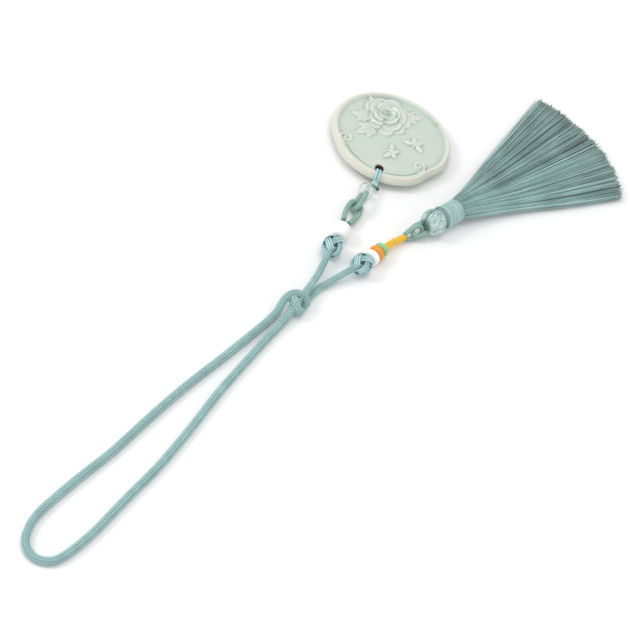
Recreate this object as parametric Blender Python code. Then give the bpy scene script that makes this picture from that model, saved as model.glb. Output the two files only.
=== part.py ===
"""A car hanging tassel lying on a table: cord loop, knots, beads, ceramic pendant and silk tassel.

Metres, +Z up. X runs from the hanging loop's end to the tassel's tips, and z = 0 is the table.
Sizes below are in millimetres and are scaled once, by mm, where a mesh or a curve is made.
"""
import math

import bmesh
import bpy
import numpy as np
from mathutils import Matrix, Vector

for old in list(bpy.data.objects):
    bpy.data.objects.remove(old, do_unlink=True)

mm = 0.001
gap = 0.3

# driving dimensions, mm
cord_diameter = 3.4
string_diameter = 1.2
thread_diameter = 1.1
ball_radius = 4.7
ball_half_length = 5.1
ball_height = 4.6
bore_radius = 0.95
white_radius, white_half = 4.0, 3.8
clear_radius, clear_half = 3.4, 2.3
link_diameter_pendant = 2.3
link_diameter_tassel = 1.7
pendant_radius = 27.0
pendant_thickness = 6.6
hole_radius = 1.9
knob_radius = 5.4
collar_radius = 5.3
collar_length = 8.4
skirt_length = 88.5

# places on the table, mm
knot_pendant = (22.5, 1.4, ball_height)
knot_tassel = (25.9, -12.3, ball_height)
clear_place = (58.6, 14.4, 3.5)
pendant_centre = (88.9, 27.8, 0.0)
pendant_turn = -64.0
hole_place = (0.4, -20.8)
knob_centre = (68.1, -15.6, knob_radius)
tassel_turn = -7.0

# routes of the cord's pieces, chosen by hand
loop_route = (
    (-18.8, -7.6, 2.65), (-24.0, -8.1, 1.9), (-31.0, -8.7, 1.72), (-52.5, -10.0, 1.72), (-74.0, -11.0, 1.72),
    (-95.5, -13.0, 1.72), (-116.5, -15.5, 1.72), (-136.5, -16.6, 1.72), (-155.5, -18.4, 1.72),
    (-164.8, -21.7, 1.72), (-169.4, -26.0, 1.72), (-170.3, -31.0, 1.72), (-167.6, -35.3, 1.72),
    (-162.0, -37.4, 1.72), (-147.5, -36.9, 1.72), (-127.8, -33.8, 1.72), (-107.6, -30.8, 1.72),
    (-86.7, -26.2, 1.72), (-65.2, -20.7, 1.72), (-43.0, -16.2, 1.72), (-31.5, -14.0, 1.72),
    (-25.0, -13.0, 1.9), (-19.3, -12.1, 2.65))
arm_pendant_route = (
    (-2.4, -8.1, 5.35), (0.6, -7.1, 5.0), (4.4, -5.8, 4.2), (8.7, -4.3, 3.6), (12.9, -2.6, 3.7), (17.45, -0.55, 4.6))
arm_tassel_route = (
    (-2.4, -10.0, 1.8), (0.6, -9.6, 1.75), (4.0, -9.2, 1.8), (8.0, -9.6, 2.1), (12.5, -10.3, 3.0),
    (16.8, -11.1, 4.0), (20.5, -11.65, 4.5))
# the overhand knot's strands: the straight one, and the tied one's lobes over and under it
core_strand = (
    (-19.0, -12.05, 2.7), (-17.6, -11.75, 2.95), (-14.4, -10.9, 3.9), (-10.5, -9.8, 4.7), (-6.4, -9.1, 5.2),
    (-3.6, -8.5, 5.35), (-2.7, -8.2, 5.35))
arc_lobe = (
    (-18.5, -7.58, 2.7), (-17.2, -7.5, 3.0), (-15.2, -7.1, 4.6), (-12.9, -6.3, 6.3), (-10.2, -6.2, 7.2),
    (-8.2, -8.2, 6.9), (-6.9, -10.9, 4.9), (-7.6, -12.3, 2.6))
under_lobe = (
    (-7.6, -12.3, 3.0), (-6.8, -11.4, 1.75), (-5.0, -10.4, 1.72), (-3.6, -10.15, 1.78), (-2.7, -10.05, 1.8))
middle_lobe = (
    (-10.0, -6.4, 4.0), (-11.0, -8.0, 5.9), (-12.4, -10.7, 6.4), (-12.9, -13.0, 4.5), (-11.2, -13.4, 2.2),
    (-9.0, -11.0, 1.75))


def unit(vector):
    """The vector at length one."""
    return Vector(vector).normalized()


def smooth_curve(points, step):
    """Points a step apart along the smooth Catmull-Rom curve through the given points."""
    given = np.array(points, float)
    padded = np.vstack([2 * given[0] - given[1], given, 2 * given[-1] - given[-2]])
    t = np.linspace(0, 1, 24, endpoint=False)[:, None]
    spans = []
    for a, b, c, d in zip(padded, padded[1:], padded[2:], padded[3:]):
        spans.append(0.5 * (2 * b + (c - a) * t + (2 * a - 5 * b + 4 * c - d) * t ** 2
                            + (3 * b - a - 3 * c + d) * t ** 3))
    fine = np.vstack(spans + [given[-1:]])
    along = np.concatenate([[0], np.cumsum(np.linalg.norm(np.diff(fine, axis=0), axis=1))])
    stops = np.linspace(0, along[-1], max(2, round(along[-1] / step)) + 1)
    return np.stack([np.interp(stops, along, fine[:, k]) for k in range(3)], axis=1)


def placed(origin, direction, tilt=0.0):
    """The matrix, in mm, that puts local X along direction and local Z upward, tilted about X."""
    forward = unit(direction)
    side = unit(Vector((0, 0, 1)).cross(forward))
    rotation = Matrix((forward, side, forward.cross(side))).transposed().to_4x4()
    return Matrix.Translation(Vector(origin)) @ rotation @ Matrix.Rotation(math.radians(tilt), 4, "X")


def material(name, color, roughness, alpha=1.0):
    """A plain Principled material of one colour."""
    made = bpy.data.materials.new(name)
    made.use_nodes = True
    shader = made.node_tree.nodes["Principled BSDF"]
    shader.inputs["Base Color"].default_value = (*color, 1.0)
    shader.inputs["Roughness"].default_value = roughness
    shader.inputs["Metallic"].default_value = 0.0
    shader.inputs["Transmission Weight"].default_value = 1.0 - alpha
    return made


def new_object(name, data, finish, matrix=None):
    """Link one named object, placed by a matrix whose translation is in mm."""
    made = bpy.data.objects.new(name, data)
    bpy.context.scene.collection.objects.link(made)
    made.data.materials.append(finish)
    if matrix is not None:
        made.matrix_world = Matrix.Translation(matrix.translation * mm) @ matrix.to_3x3().to_4x4()
    return made


def mesh_object(name, verts, faces, finish, matrix=None, smooth=True):
    """An object from local vertices in mm and faces, its normals turned outward."""
    mesh = bpy.data.meshes.new(name)
    mesh.from_pydata([tuple(float(c) * mm for c in v) for v in verts], [], faces)
    work = bmesh.new()
    work.from_mesh(mesh)
    bmesh.ops.recalc_face_normals(work, faces=work.faces)
    work.to_mesh(mesh)
    work.free()
    if smooth:
        mesh.shade_smooth()
        mesh.set_sharp_from_angle(angle=math.radians(50))
    return new_object(name, mesh, finish, matrix)


def tube(name, route, diameter, step, finish):
    """A round cord or thread along a route, as a bevelled curve with closed ends."""
    curve = bpy.data.curves.new(name, "CURVE")
    curve.dimensions = "3D"
    curve.bevel_depth = diameter / 2 * mm
    curve.bevel_resolution = 2
    curve.use_fill_caps = True
    points = smooth_curve(route, step)
    spline = curve.splines.new("POLY")
    spline.points.add(len(points) - 1)
    for point, place in zip(spline.points, points):
        point.co = (*(place * mm), 1.0)
    return new_object(name, curve, finish)


def swept(name, route, diameter, finish, sides=10, step=1.6):
    """The same round strand as a closed mesh, for joining by a Boolean."""
    points = [Vector(p) for p in smooth_curve(route, step)]
    verts, faces = [], []
    normal = unit((points[1] - points[0]).orthogonal())
    for k, point in enumerate(points):
        ahead = points[min(k + 1, len(points) - 1)] - points[max(k - 1, 0)]
        ahead.normalize()
        normal = (normal - ahead * normal.dot(ahead)).normalized()
        across = ahead.cross(normal)
        for j in range(sides):
            turn = math.tau * j / sides
            verts.append(point + (normal * math.cos(turn) + across * math.sin(turn)) * diameter / 2)
    for k in range(len(points) - 1):
        for j in range(sides):
            a, b = k * sides + j, k * sides + (j + 1) % sides
            faces.append((a, b, b + sides, a + sides))
    faces.append(tuple(range(sides))[::-1])
    faces.append(tuple(range(len(verts) - sides, len(verts))))
    return mesh_object(name, verts, faces, finish)


def turned(name, outline, sides, finish, matrix, smooth=True, floor=None):
    """A ring turned about local X from a closed outline of (along, radius) pairs, flat at the floor."""
    verts, faces = [], []
    count = len(outline)
    for j in range(sides):
        turn = math.tau * j / sides
        for along, radius in outline:
            height = radius * math.cos(turn)
            verts.append((along, radius * math.sin(turn), height if floor is None else max(height, floor)))
    for j in range(sides):
        following = (j + 1) % sides
        for k in range(count):
            after = (k + 1) % count
            faces.append((j * count + k, j * count + after, following * count + after, following * count + k))
    return mesh_object(name, verts, faces, finish, matrix, smooth)


def bead(name, matrix, radius, half, fullness, finish, sides=16, steps=5, smooth=True):
    """A bored bead: its outside is a rounded arc, fuller with a smaller power."""
    outline = []
    for k in range(steps + 1):
        swing = math.pi * (k / steps - 0.5)
        bulge = max(0.0, math.cos(swing)) ** fullness
        outline.append((half * math.sin(swing), bore_radius + 0.25 + (radius - bore_radius - 0.25) * bulge))
    outline += [(half - 0.2, bore_radius), (0.2 - half, bore_radius)]
    return turned(name, outline, sides, finish, matrix, smooth)


def woven_ball(name, matrix, radius, half, floor, finish, cells=9, ridges=3, depth=0.5):
    """A ball of flat bands, each face of a subdivided cube with its own direction of raised strands."""
    work = bmesh.new()
    bmesh.ops.create_cube(work, size=2.0)
    bmesh.ops.subdivide_edges(work, edges=work.edges, cuts=cells - 1, use_grid_fill=True)
    for vert in work.verts:
        flat = [math.atan(c) * 4 / math.pi for c in vert.co]
        face = max(range(3), key=lambda k: abs(flat[k]))
        across = flat[(face + 1) % 3]
        strand = abs(math.cos(across * ridges * math.pi / 2))
        edge = max(abs(flat[(face + 1) % 3]), abs(flat[(face + 2) % 3]))
        place = Vector(flat).normalized() * (radius - depth * (1 - strand) * (1 - 0.5 * edge ** 4))
        place.x = min(max(place.x * half / radius * 1.06, -half), half)
        place.z = max(place.z, floor)
        vert.co = place * mm
    mesh = bpy.data.meshes.new(name)
    bmesh.ops.recalc_face_normals(work, faces=work.faces)
    work.to_mesh(mesh)
    work.free()
    mesh.shade_smooth()
    return new_object(name, mesh, finish, matrix)


def link_route(matrix, length, width, base=1.0):
    """A hooked loop: two legs that leave together, part and join in a round bend at local x = length."""
    bend = length - width
    half = [(0.0, base), (0.24 * length, base + 0.62 * (width - base)), (0.5 * bend + 0.2 * length, width)]
    half += [(bend + width * math.sin(a), width * math.cos(a)) for a in (0.5, 1.05)]
    route = [(x, y, 0.0) for x, y in half] + [(length, 0.0, 0.0)] + [(x, -y, 0.0) for x, y in half[::-1]]
    return [tuple(matrix @ Vector(p)) for p in route]


def joined(base, others):
    """Boolean unions of the base with guide solids that stay hidden."""
    for other in others:
        other.hide_render = True
        other.display_type = "WIRE"
        union = base.modifiers.new("join " + other.name, "BOOLEAN")
        union.operation = "UNION"
        union.object = other
    return base


cord_teal = material("cord teal", (0.30, 0.50, 0.50), 0.85)
link_teal = material("link teal", (0.28, 0.48, 0.40), 0.6)
silk_teal = material("silk teal", (0.26, 0.46, 0.45), 0.55)
thread_teal = material("thread teal", (0.38, 0.60, 0.62), 0.6)
singed = material("singed thread", (0.08, 0.11, 0.10), 0.8)
celadon = material("celadon glaze", (0.66, 0.76, 0.68), 0.2)
white_glass = material("white bead", (0.90, 0.90, 0.89), 0.2)
clear_glass = material("clear bead", (0.95, 0.97, 0.97), 0.05, alpha=0.1)
yellow_glass = material("yellow bead", (0.86, 0.55, 0.07), 0.25)
orange_glass = material("orange bead", (0.90, 0.40, 0.06), 0.25)
green_glass = material("green bead", (0.30, 0.68, 0.36), 0.25)


def make_cord():
    """The loop, the overhand knot that gathers it, and the two short arms."""
    tube("hanging_loop", loop_route, cord_diameter, 5.6, cord_teal)
    knot = swept("overhand_knot", core_strand, cord_diameter, cord_teal)
    lobes = [swept(name, route, cord_diameter, cord_teal) for name, route in (
        ("arc lobe", arc_lobe), ("under lobe", under_lobe), ("middle lobe", middle_lobe))]
    joined(knot, lobes)
    tube("arm_pendant", arm_pendant_route, cord_diameter, 2.6, cord_teal)
    tube("arm_tassel", arm_tassel_route, cord_diameter, 2.6, cord_teal)


def make_pendant_chain():
    """Button knot, white bead, two hooked links and the clear bead, in line toward the pendant."""
    heading = (0.93, 0.36, 0.0)
    ball = placed(knot_pendant, heading)
    woven_ball("button_knot_pendant", ball, ball_radius, ball_half_length, -ball_height, cord_teal)
    bead_at = ball_half_length + 1.1 + white_half
    bead("white_bead_pendant", placed(ball @ Vector((bead_at, 0, white_radius - ball_height)), heading),
         white_radius, white_half, 0.75, white_glass, sides=20, steps=8)
    drop = Vector((0, 0, white_radius - ball_height))
    string = [ball @ (Vector((x, 0, 0)) + drop)
              for x in (ball_half_length + gap, bead_at, bead_at + white_half)]
    tube("string_pendant", string, string_diameter, 3.0, thread_teal)

    first = ball @ Vector((bead_at + white_half + gap, 0, -0.9))
    clear = Vector(clear_place)
    line = clear - first
    last = clear - line.normalized() * (clear_half + gap)
    tube("link_1", link_route(placed(first, line, 20), 14.6, 2.85, 1.35), link_diameter_pendant, 1.7, link_teal)
    tube("link_2", link_route(placed(last, -line, 60), 10.8, 2.75, 1.35), link_diameter_pendant, 1.7, link_teal)
    seat = placed(clear, line)
    bead("clear_bead", seat, clear_radius, clear_half, 0.7, clear_glass, sides=12, steps=4, smooth=False)
    tube("string_hanger", [seat @ Vector((x, 0, 0)) for x in (-clear_half, 0, clear_half)], string_diameter,
         2.3, thread_teal)


def make_tassel_chain():
    """Button knot, white, orange and green beads, two yellow tubes and two hooked links."""
    heading = (0.995, -0.1, 0.0)
    ball = placed(knot_tassel, heading)
    woven_ball("button_knot_tassel", ball, ball_radius, ball_half_length, -ball_height, cord_teal)
    route = smooth_curve(((31.3, -12.25, 3.65), (36.0, -11.9, 3.65), (41.5, -11.75, 3.4), (48.0, -11.9, 2.8),
                          (54.0, -12.75, 2.5)), 0.1)
    along = np.concatenate([[0], np.cumsum(np.linalg.norm(np.diff(route, axis=0), axis=1))])
    # a row for each bead: name, radius, half-length, fullness of its side, material
    beads = (("white_bead_tassel", 3.5, 2.4, 0.7, white_glass), ("orange_bead", 3.6, 1.35, 0.55, orange_glass),
             ("green_bead", 3.3, 1.35, 0.55, green_glass), ("yellow_bead_1", 1.5, 2.7, 0.25, yellow_glass),
             ("yellow_bead_2", 1.5, 2.7, 0.25, yellow_glass))
    reached = 0.0
    for name, radius, half, fullness, finish in beads:
        middle = int(np.searchsorted(along, reached + half))
        heading = route[middle + 8] - route[middle - 8]
        bead(name, placed(route[middle], heading), radius, half, fullness, finish)
        reached += 2 * half + gap
    end = int(np.searchsorted(along, reached - gap))
    tube("string_tassel", route[:end:12], string_diameter, 2.6, thread_teal)

    first = Vector(route[min(end + 3, len(route) - 1)])
    knob = placed(knob_centre, (math.cos(math.radians(tassel_turn)), math.sin(math.radians(tassel_turn)), 0))
    last = knob @ Vector((-knob_radius - 0.2, 0, -1.0))
    line = last - first
    tube("link_3", link_route(placed(first, line, 20), 0.71 * line.length, 2.15, 1.05), link_diameter_tassel,
         1.1, link_teal)
    tube("link_4", link_route(placed(last, -line, 60), 0.65 * line.length, 2.15, 1.05), link_diameter_tassel,
         1.1, link_teal)


def pendant_edge(angle):
    """The pendant's outline in mm: round below, a little flatter above, with a notch at each scroll."""
    flat = 2.3 * max(0.0, math.sin(angle)) ** 2
    waist = 0.0
    for centre, depth in ((-33, 2.2), (-147, 0.8)):
        off = (math.degrees(angle) - centre + 180) % 360 - 180
        waist += depth * math.exp(-(off / 13) ** 2)
    return pendant_radius - flat - waist


def pendant_relief(x, y, share):
    """Height in mm of the carved top: rim, recess, lower border and the flower's mound."""
    rim = math.exp(-((share - 0.9) / 0.06) ** 2)
    border = 0.35 / (1 + math.exp((y + 12 - 0.03 * x * x) / 0.8)) * (1 - rim)
    height = pendant_thickness - 1.0 + 1.0 * rim + border
    from_flower = math.hypot(x + 5.2, (y - 9.0) * 1.08)
    petals = 9.8 + 0.8 * math.cos(7 * math.atan2(y - 9.0, x + 5.2))
    mound = max(0.0, 1 - (from_flower / petals) ** 2)
    cup = math.exp(-(from_flower / 2.4) ** 2)
    height += 1.3 * mound ** 0.6 * (1 - rim) - 0.5 * cup
    for bx, by in ((10.6, 0.6), (2.9, -7.9)):
        height += 0.5 * math.exp(-(((x - bx) / 3.2) ** 2 + ((y - by) / 2.2) ** 2))
    return height


def make_pendant():
    """The glazed ceramic pendant: flat foot, pebble-shaped back, round rim, carved top and one hole."""
    turns = 64
    shares = [0.1, 0.22, 0.34, 0.46, 0.58, 0.68, 0.76, 0.82, 0.87, 0.91, 0.945]
    back = [(0.975, 5.3), (0.995, 4.4), (1.0, 3.5), (0.985, 2.6), (0.93, 1.85), (0.78, 1.55), (0.62, 0.0)]
    verts, faces = [(0.0, 0.0, pendant_relief(0.0, 0.0, 0.0))], []
    for share in shares:
        for j in range(turns):
            angle = math.tau * j / turns
            reach = share * pendant_edge(angle)
            x, y = reach * math.cos(angle), reach * math.sin(angle)
            verts.append((x, y, pendant_relief(x, y, share)))
    for share, height in back:
        for j in range(turns):
            angle = math.tau * j / turns
            reach = share * pendant_edge(angle)
            verts.append((reach * math.cos(angle), reach * math.sin(angle), height))
    rings = len(shares) + len(back)
    for j in range(turns):
        faces.append((0, 1 + j, 1 + (j + 1) % turns))
    for k in range(rings - 1):
        for j in range(turns):
            a, b = 1 + k * turns + j, 1 + k * turns + (j + 1) % turns
            faces.append((a, a + turns, b + turns, b))
    faces.append(tuple(range(1 + (rings - 1) * turns, 1 + rings * turns)))
    place = placed(pendant_centre, (math.cos(math.radians(pendant_turn)), math.sin(math.radians(pendant_turn)), 0))
    body = mesh_object("pendant", verts, faces, celadon, place)

    cutter = bpy.data.meshes.new("hole cutter")
    work = bmesh.new()
    bmesh.ops.create_cone(work, cap_ends=True, segments=16, radius1=hole_radius * mm, radius2=hole_radius * mm,
                          depth=3 * pendant_thickness * mm)
    work.to_mesh(cutter)
    work.free()
    drill = new_object("hole cutter", cutter, celadon, place @ Matrix.Translation((*hole_place, 3.0)))
    drill.hide_render = True
    drill.display_type = "WIRE"
    cut = body.modifiers.new("hole", "BOOLEAN")
    cut.operation = "DIFFERENCE"
    cut.object = drill
    return place


def make_hanger(place):
    """The thread knot, its singed end and the two threads through the pendant's hole."""
    knot_at = Vector((-0.2, -29.1, 2.9))
    knot_radius = 1.5
    forward = place.to_3x3() @ Vector((0, 1, 0))
    woven_ball("thread_knot", placed(place @ knot_at, forward), knot_radius, knot_radius, -2.9, thread_teal,
               cells=5, ridges=1, depth=0.3)
    tube("thread_end", [place @ (knot_at + Vector(p)) for p in ((1.75, -0.2, -0.4), (2.6, -0.3, -0.8),
                                                               (3.5, -0.4, -1.3))], 1.3, 1.0, singed)
    side_view = ((-28.2, 4.6), (-27.5, 6.3), (-25.6, 7.45), (-23.2, 7.6), (-21.5, 6.9), (-20.9, 5.2), (-20.8, 3.2),
                 (-21.2, 1.5), (-22.8, 0.7), (-24.8, 0.65), (-26.8, 0.75), (-28.0, 1.2))
    for number, across in ((1, -0.7), (2, 0.7)):
        route = []
        for y, z in side_view:
            toward_hole = min(1.0, (y - side_view[0][0]) / (hole_place[1] - side_view[0][0]))
            middle = knot_at.x + (hole_place[0] - knot_at.x) * toward_hole
            route.append(place @ Vector((middle + across, y, z)))
        tube("hanger_thread_%d" % number, route, thread_diameter, 1.7, thread_teal)


def make_tassel():
    """The silk tassel: looped knob, wound collar, and the skirt's locks fanned out on the table."""
    heading = (math.cos(math.radians(tassel_turn)), math.sin(math.radians(tassel_turn)), 0)
    knob = placed(knob_centre, heading)
    turns, rings = 36, 11
    verts, faces = [(-knob_radius, 0, 0)], []
    for k in range(1, rings):
        swing = math.pi * k / rings
        for j in range(turns):
            turn = math.tau * j / turns
            reach = knob_radius * math.sin(swing) * (0.975 + 0.025 * math.cos(12 * turn + 2 * swing))
            verts.append((-knob_radius * math.cos(swing), reach * math.sin(turn), reach * math.cos(turn)))
    verts.append((knob_radius, 0, 0))
    for j in range(turns):
        following = (j + 1) % turns
        faces.append((0, 1 + following, 1 + j))
        faces.append((len(verts) - 1, len(verts) - 1 - turns + j, len(verts) - 1 - turns + following))
        for k in range(rings - 2):
            a, b = 1 + k * turns + j, 1 + k * turns + following
            faces.append((a, b, b + turns, a + turns))
    verts = [(min(x, knob_radius - 0.5), y, max(z, 0.12 - knob_radius)) for x, y, z in verts]
    mesh_object("tassel_knob", verts, faces, silk_teal, knob @ Matrix.Translation((0, 0, -0.12)))

    neck_radius = collar_radius - 1.1
    start = knob_radius - 0.5 + gap
    bumps = 8
    outline = [(start + collar_length * k / bumps, collar_radius - 0.2 + 0.2 * (k % 2)) for k in range(bumps + 1)]
    outline += [(start + collar_length, neck_radius + gap), (start, neck_radius + gap)]
    turned("tassel_collar", outline, 22, silk_teal, knob, floor=-knob_radius + 0.02)
    make_skirt(knob, start + 0.4, start + collar_length, neck_radius)


def make_skirt(knob, neck_start, neck_end, neck_radius):
    """Ordered locks, four-sided, that leave the flared end of the neck and spread over the table."""
    columns, rows = 18, 4
    flare_length = 4.5
    flare = neck_end + flare_length
    flare_width, flare_height, flare_drop = 6.6, 4.2, 0.9
    fan_start, fan_slope, fan_angle = 6.2, 0.315, 20.0
    # a row for each section of a lock: distance past the flare, half-spread of the fan, lock width,
    # lock thickness, height of the lowest lock's centre and the rise from row to row; the last is the tip
    sections = ((11.0, 9.6, 0.82, 1.0, 0.9, 1.6), (28.0, 15.4, 1.3, 0.8, 0.42, 1.35),
                (52.0, 22.8, 2.0, 0.7, 0.37, 1.1), (None, None, 2.6, 0.4, 0.22, 0.95))
    rng = np.random.default_rng(7)

    def square_to_round(u, v):
        """Map the square of side two onto the unit disc."""
        return u * math.sqrt(1 - v * v / 2), v * math.sqrt(1 - u * u / 2)

    def lines(count, cell_share):
        """Edges of the cells and of the margins between them, from minus one to one."""
        pitch = 2 / count
        edges = []
        for k in range(count):
            left = -1 + k * pitch + pitch * (1 - cell_share) / 2
            edges += [left, left + pitch * cell_share]
        return edges

    across_lines = lines(columns, 0.66)
    up_lines = lines(rows, 0.72)
    wide, tall = len(across_lines), len(up_lines)
    verts, faces = [], []
    for v in up_lines:
        for u in across_lines:
            y, z = square_to_round(u, v)
            verts.append((flare, flare_width * y, flare_height * z - flare_drop))
    for j in range(tall - 1):
        for i in range(wide - 1):
            if i % 2 or j % 2:
                a = j * wide + i
                faces.append((a, a + 1, a + wide + 1, a + wide))
    border = ([i for i in range(wide)] + [j * wide + wide - 1 for j in range(1, tall)]
              + [(tall - 1) * wide + i for i in range(wide - 2, -1, -1)] + [j * wide for j in range(tall - 2, 0, -1)])
    ring = border
    for x in (neck_end, neck_start):
        first = len(verts)
        for index in border:
            y, z = verts[index][1] / flare_width, (verts[index][2] + flare_drop) / flare_height
            reach = math.hypot(y, z)
            verts.append((x, neck_radius * y / reach, neck_radius * z / reach))
        made = list(range(first, first + len(border)))
        for k in range(len(border)):
            after = (k + 1) % len(border)
            faces.append((ring[k], ring[after], made[after], made[k]))
        ring = made
    faces.append(tuple(ring))

    drop = -knob_centre[2]
    for j in range(rows):
        for i in range(columns):
            q = -1 + (2 * i + 1) / columns
            corner = 2 * j * wide + 2 * i
            last = (corner, corner + 1, corner + wide + 1, corner + wide)
            length = skirt_length - 6.5 * max(0.0, -q) ** 1.6 + 0.9 * (j - rows) + rng.uniform(-1.3, 1.3)
            reach = length * math.cos(math.radians(fan_angle * q)) - flare_length
            sway = rng.uniform(-1, 1)
            for past, spread, width, thick, low, rise in sections:
                if past is None:
                    past, spread = reach, fan_start + (reach + 2) * fan_slope
                pitch = 2 * spread / columns
                stagger = 0.25 * pitch * (1 if j % 2 else -1) * min(1.0, past / sections[1][0])
                y = q * spread + stagger + sway * 0.35 * (pitch - width) * math.sin(0.06 * past + j)
                z = drop + low + rise * j
                first = len(verts)
                for dy, dz in ((-1, -1), (1, -1), (1, 1), (-1, 1)):
                    verts.append((flare + past, y + dy * width / 2, z + dz * thick / 2))
                made = tuple(range(first, first + 4))
                for k in range(4):
                    after = (k + 1) % 4
                    faces.append((last[k], last[after], made[after], made[k]))
                last = made
            faces.append(last)
    return mesh_object("tassel_skirt", verts, faces, silk_teal, knob, smooth=False)


make_cord()
make_pendant_chain()
make_tassel_chain()
make_hanger(make_pendant())
make_tassel()
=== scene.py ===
import bmesh
import bpy
import numpy as np
from mathutils import Matrix


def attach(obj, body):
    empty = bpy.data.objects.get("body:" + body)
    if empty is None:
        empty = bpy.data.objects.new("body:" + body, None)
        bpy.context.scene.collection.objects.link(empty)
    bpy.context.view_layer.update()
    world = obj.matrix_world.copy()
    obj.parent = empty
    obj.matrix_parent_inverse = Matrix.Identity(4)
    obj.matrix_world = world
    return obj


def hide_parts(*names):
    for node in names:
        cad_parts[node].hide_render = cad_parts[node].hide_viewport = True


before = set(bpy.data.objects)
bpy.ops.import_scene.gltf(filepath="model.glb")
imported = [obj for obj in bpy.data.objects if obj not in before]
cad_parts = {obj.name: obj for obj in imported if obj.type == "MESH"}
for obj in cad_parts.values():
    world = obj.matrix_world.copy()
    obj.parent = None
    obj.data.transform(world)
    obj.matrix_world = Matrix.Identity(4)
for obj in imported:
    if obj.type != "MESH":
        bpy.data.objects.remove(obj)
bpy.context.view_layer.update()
mm = 0.001


# Curves and grids
def unitRows(vectors):
    # every vector over its own length
    return vectors / np.maximum(np.linalg.norm(vectors, axis=-1, keepdims=True), 1e-12)


def distanceAlong(path):
    # running sum of the distances between neighbours
    return np.concatenate([[0.0], np.cumsum(np.linalg.norm(np.diff(path, axis=0), axis=1))])


def curveThrough(points, step):
    # 0.5 (2b + (c-a)t + (2a-5b+4c-d)t^2 + (3b-a-3c+d)t^3) on the span b to c, then points an even step apart
    given = np.array(points, float)
    padded = np.vstack([2 * given[0] - given[1], given, 2 * given[-1] - given[-2]])
    a, b, c, d = (padded[k:len(given) - 1 + k, None] for k in range(4))
    t = np.linspace(0, 1, 40, endpoint=False)[None, :, None]
    fine = 0.5 * (2 * b + (c - a) * t + (2 * a - 5 * b + 4 * c - d) * t ** 2 + (3 * b - a - 3 * c + d) * t ** 3)
    fine = np.vstack([fine.reshape(-1, given.shape[1]), given[-1:]])
    along = distanceAlong(fine)
    stops = np.linspace(0, along[-1], max(2, round(along[-1] / step)) + 1)
    return np.stack([np.interp(stops, along, fine[:, k]) for k in range(fine.shape[1])], axis=1)


def framesAlong(path):
    # tangent, normal and binormal at each point; a normal is the last one less its share along the new tangent
    tangents = unitRows(np.gradient(path, axis=0))
    normals = np.zeros_like(path)
    normal = np.array([0.0, 0.0, 1.0]) if abs(tangents[0, 2]) < 0.9 else np.array([0.0, 1.0, 0.0])
    for k, tangent in enumerate(tangents):
        normal = normal - tangent * (normal @ tangent)
        normal = normal / np.linalg.norm(normal)
        normals[k] = normal
    return tangents, normals, np.cross(tangents, normals)


def tubeAround(path, radius, sides):
    # point(s, a) = path(s) + r(s, a) (normal cos a + binormal sin a)
    tangents, normals, across = framesAlong(path)
    turn = np.linspace(0, 2 * np.pi, sides, endpoint=False)
    ring = normals[:, None] * np.cos(turn)[None, :, None] + across[:, None] * np.sin(turn)[None, :, None]
    wide = np.asarray(radius, float)
    wide = wide[:, None] if wide.ndim == 1 else wide
    return path[:, None] + ring * np.broadcast_to(wide, (len(path), sides))[..., None]


def axesAlong(direction, tilt=0.0):
    # columns: forward, its side on the table, and up, turned about forward by the tilt in degrees
    forward = np.array(direction, float) / np.linalg.norm(direction)
    side = np.cross([0.0, 0.0, 1.0], forward)
    side = side / np.linalg.norm(side)
    up = np.cross(forward, side)
    c, s = np.cos(np.radians(tilt)), np.sin(np.radians(tilt))
    return np.stack([forward, side * c + up * s, up * c - side * s], axis=1)


def smoothStep(x):
    # 3x^2 - 2x^3 between nought and one
    x = np.clip(x, 0, 1)
    return x * x * (3 - 2 * x)


def gridFaces(count, rows, columns, wrapped):
    # corners (r, c), (r, c+1), (r+1, c+1), (r+1, c) of every cell, and their places for the UV map
    index = np.arange(count * rows * columns).reshape(count, rows, columns)
    following = np.roll(index, -1, axis=2)
    if not wrapped:
        index = index[:, :, :-1]
        following = following[:, :, :-1]
    quads = np.stack([index[:, :-1], following[:, :-1], following[:, 1:], index[:, 1:]], axis=-1).reshape(-1, 4)
    first = quads[:, 0]
    row = (first // columns) % rows
    column = first % columns
    uv = np.stack([np.stack([column, column + 1, column + 1, column], axis=1) / columns,
                   np.stack([row, row, row + 1, row + 1], axis=1) / rows], axis=-1)
    return quads, uv


def meshFrom(name, sheets):
    # every sheet is rows x columns x 3 points, or many of them; its marks are numbers kept at the same points
    verts, faces, uvs, base = [], [], [], 0
    marks = {"crown": [], "tone": []}
    for sheet in sheets:
        points = np.asarray(sheet["points"], float)
        points = points if points.ndim == 4 else points[None]
        count, rows, columns = points.shape[:3]
        wrapped = sheet.get("wrapped", True)
        quads, uv = gridFaces(count, rows, columns, wrapped)
        if "keep" in sheet:
            kept = sheet["keep"].reshape(-1)
            quads = quads[kept]
            uv = uv[kept]
        faces += (quads + base).tolist()
        uvs.append(uv.reshape(-1, 2))
        if wrapped and sheet.get("capped", True):
            index = np.arange(count * rows * columns).reshape(count, rows, columns) + base
            caps = index[:, 0, ::-1].tolist() + index[:, -1].tolist()
            faces += caps
            uvs.append(np.zeros((len(caps) * columns, 2)))
        for key in marks:
            value = sheet.get(key, 1.0 if key == "crown" else 0.5)
            marks[key].append(np.broadcast_to(np.asarray(value, float), points.shape[:3]).reshape(-1))
        verts.append(points.reshape(-1, 3))
        base += count * rows * columns
    mesh = bpy.data.meshes.new(name)
    mesh.from_pydata((np.vstack(verts) * mm).tolist(), [], faces)
    mesh.uv_layers.new(name="UVMap").data.foreach_set("uv", np.vstack(uvs).astype(np.float32).reshape(-1))
    for key, values in marks.items():
        mesh.attributes.new(key, "FLOAT", "POINT").data.foreach_set("value", np.concatenate(values).astype(np.float32))
    return mesh


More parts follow.
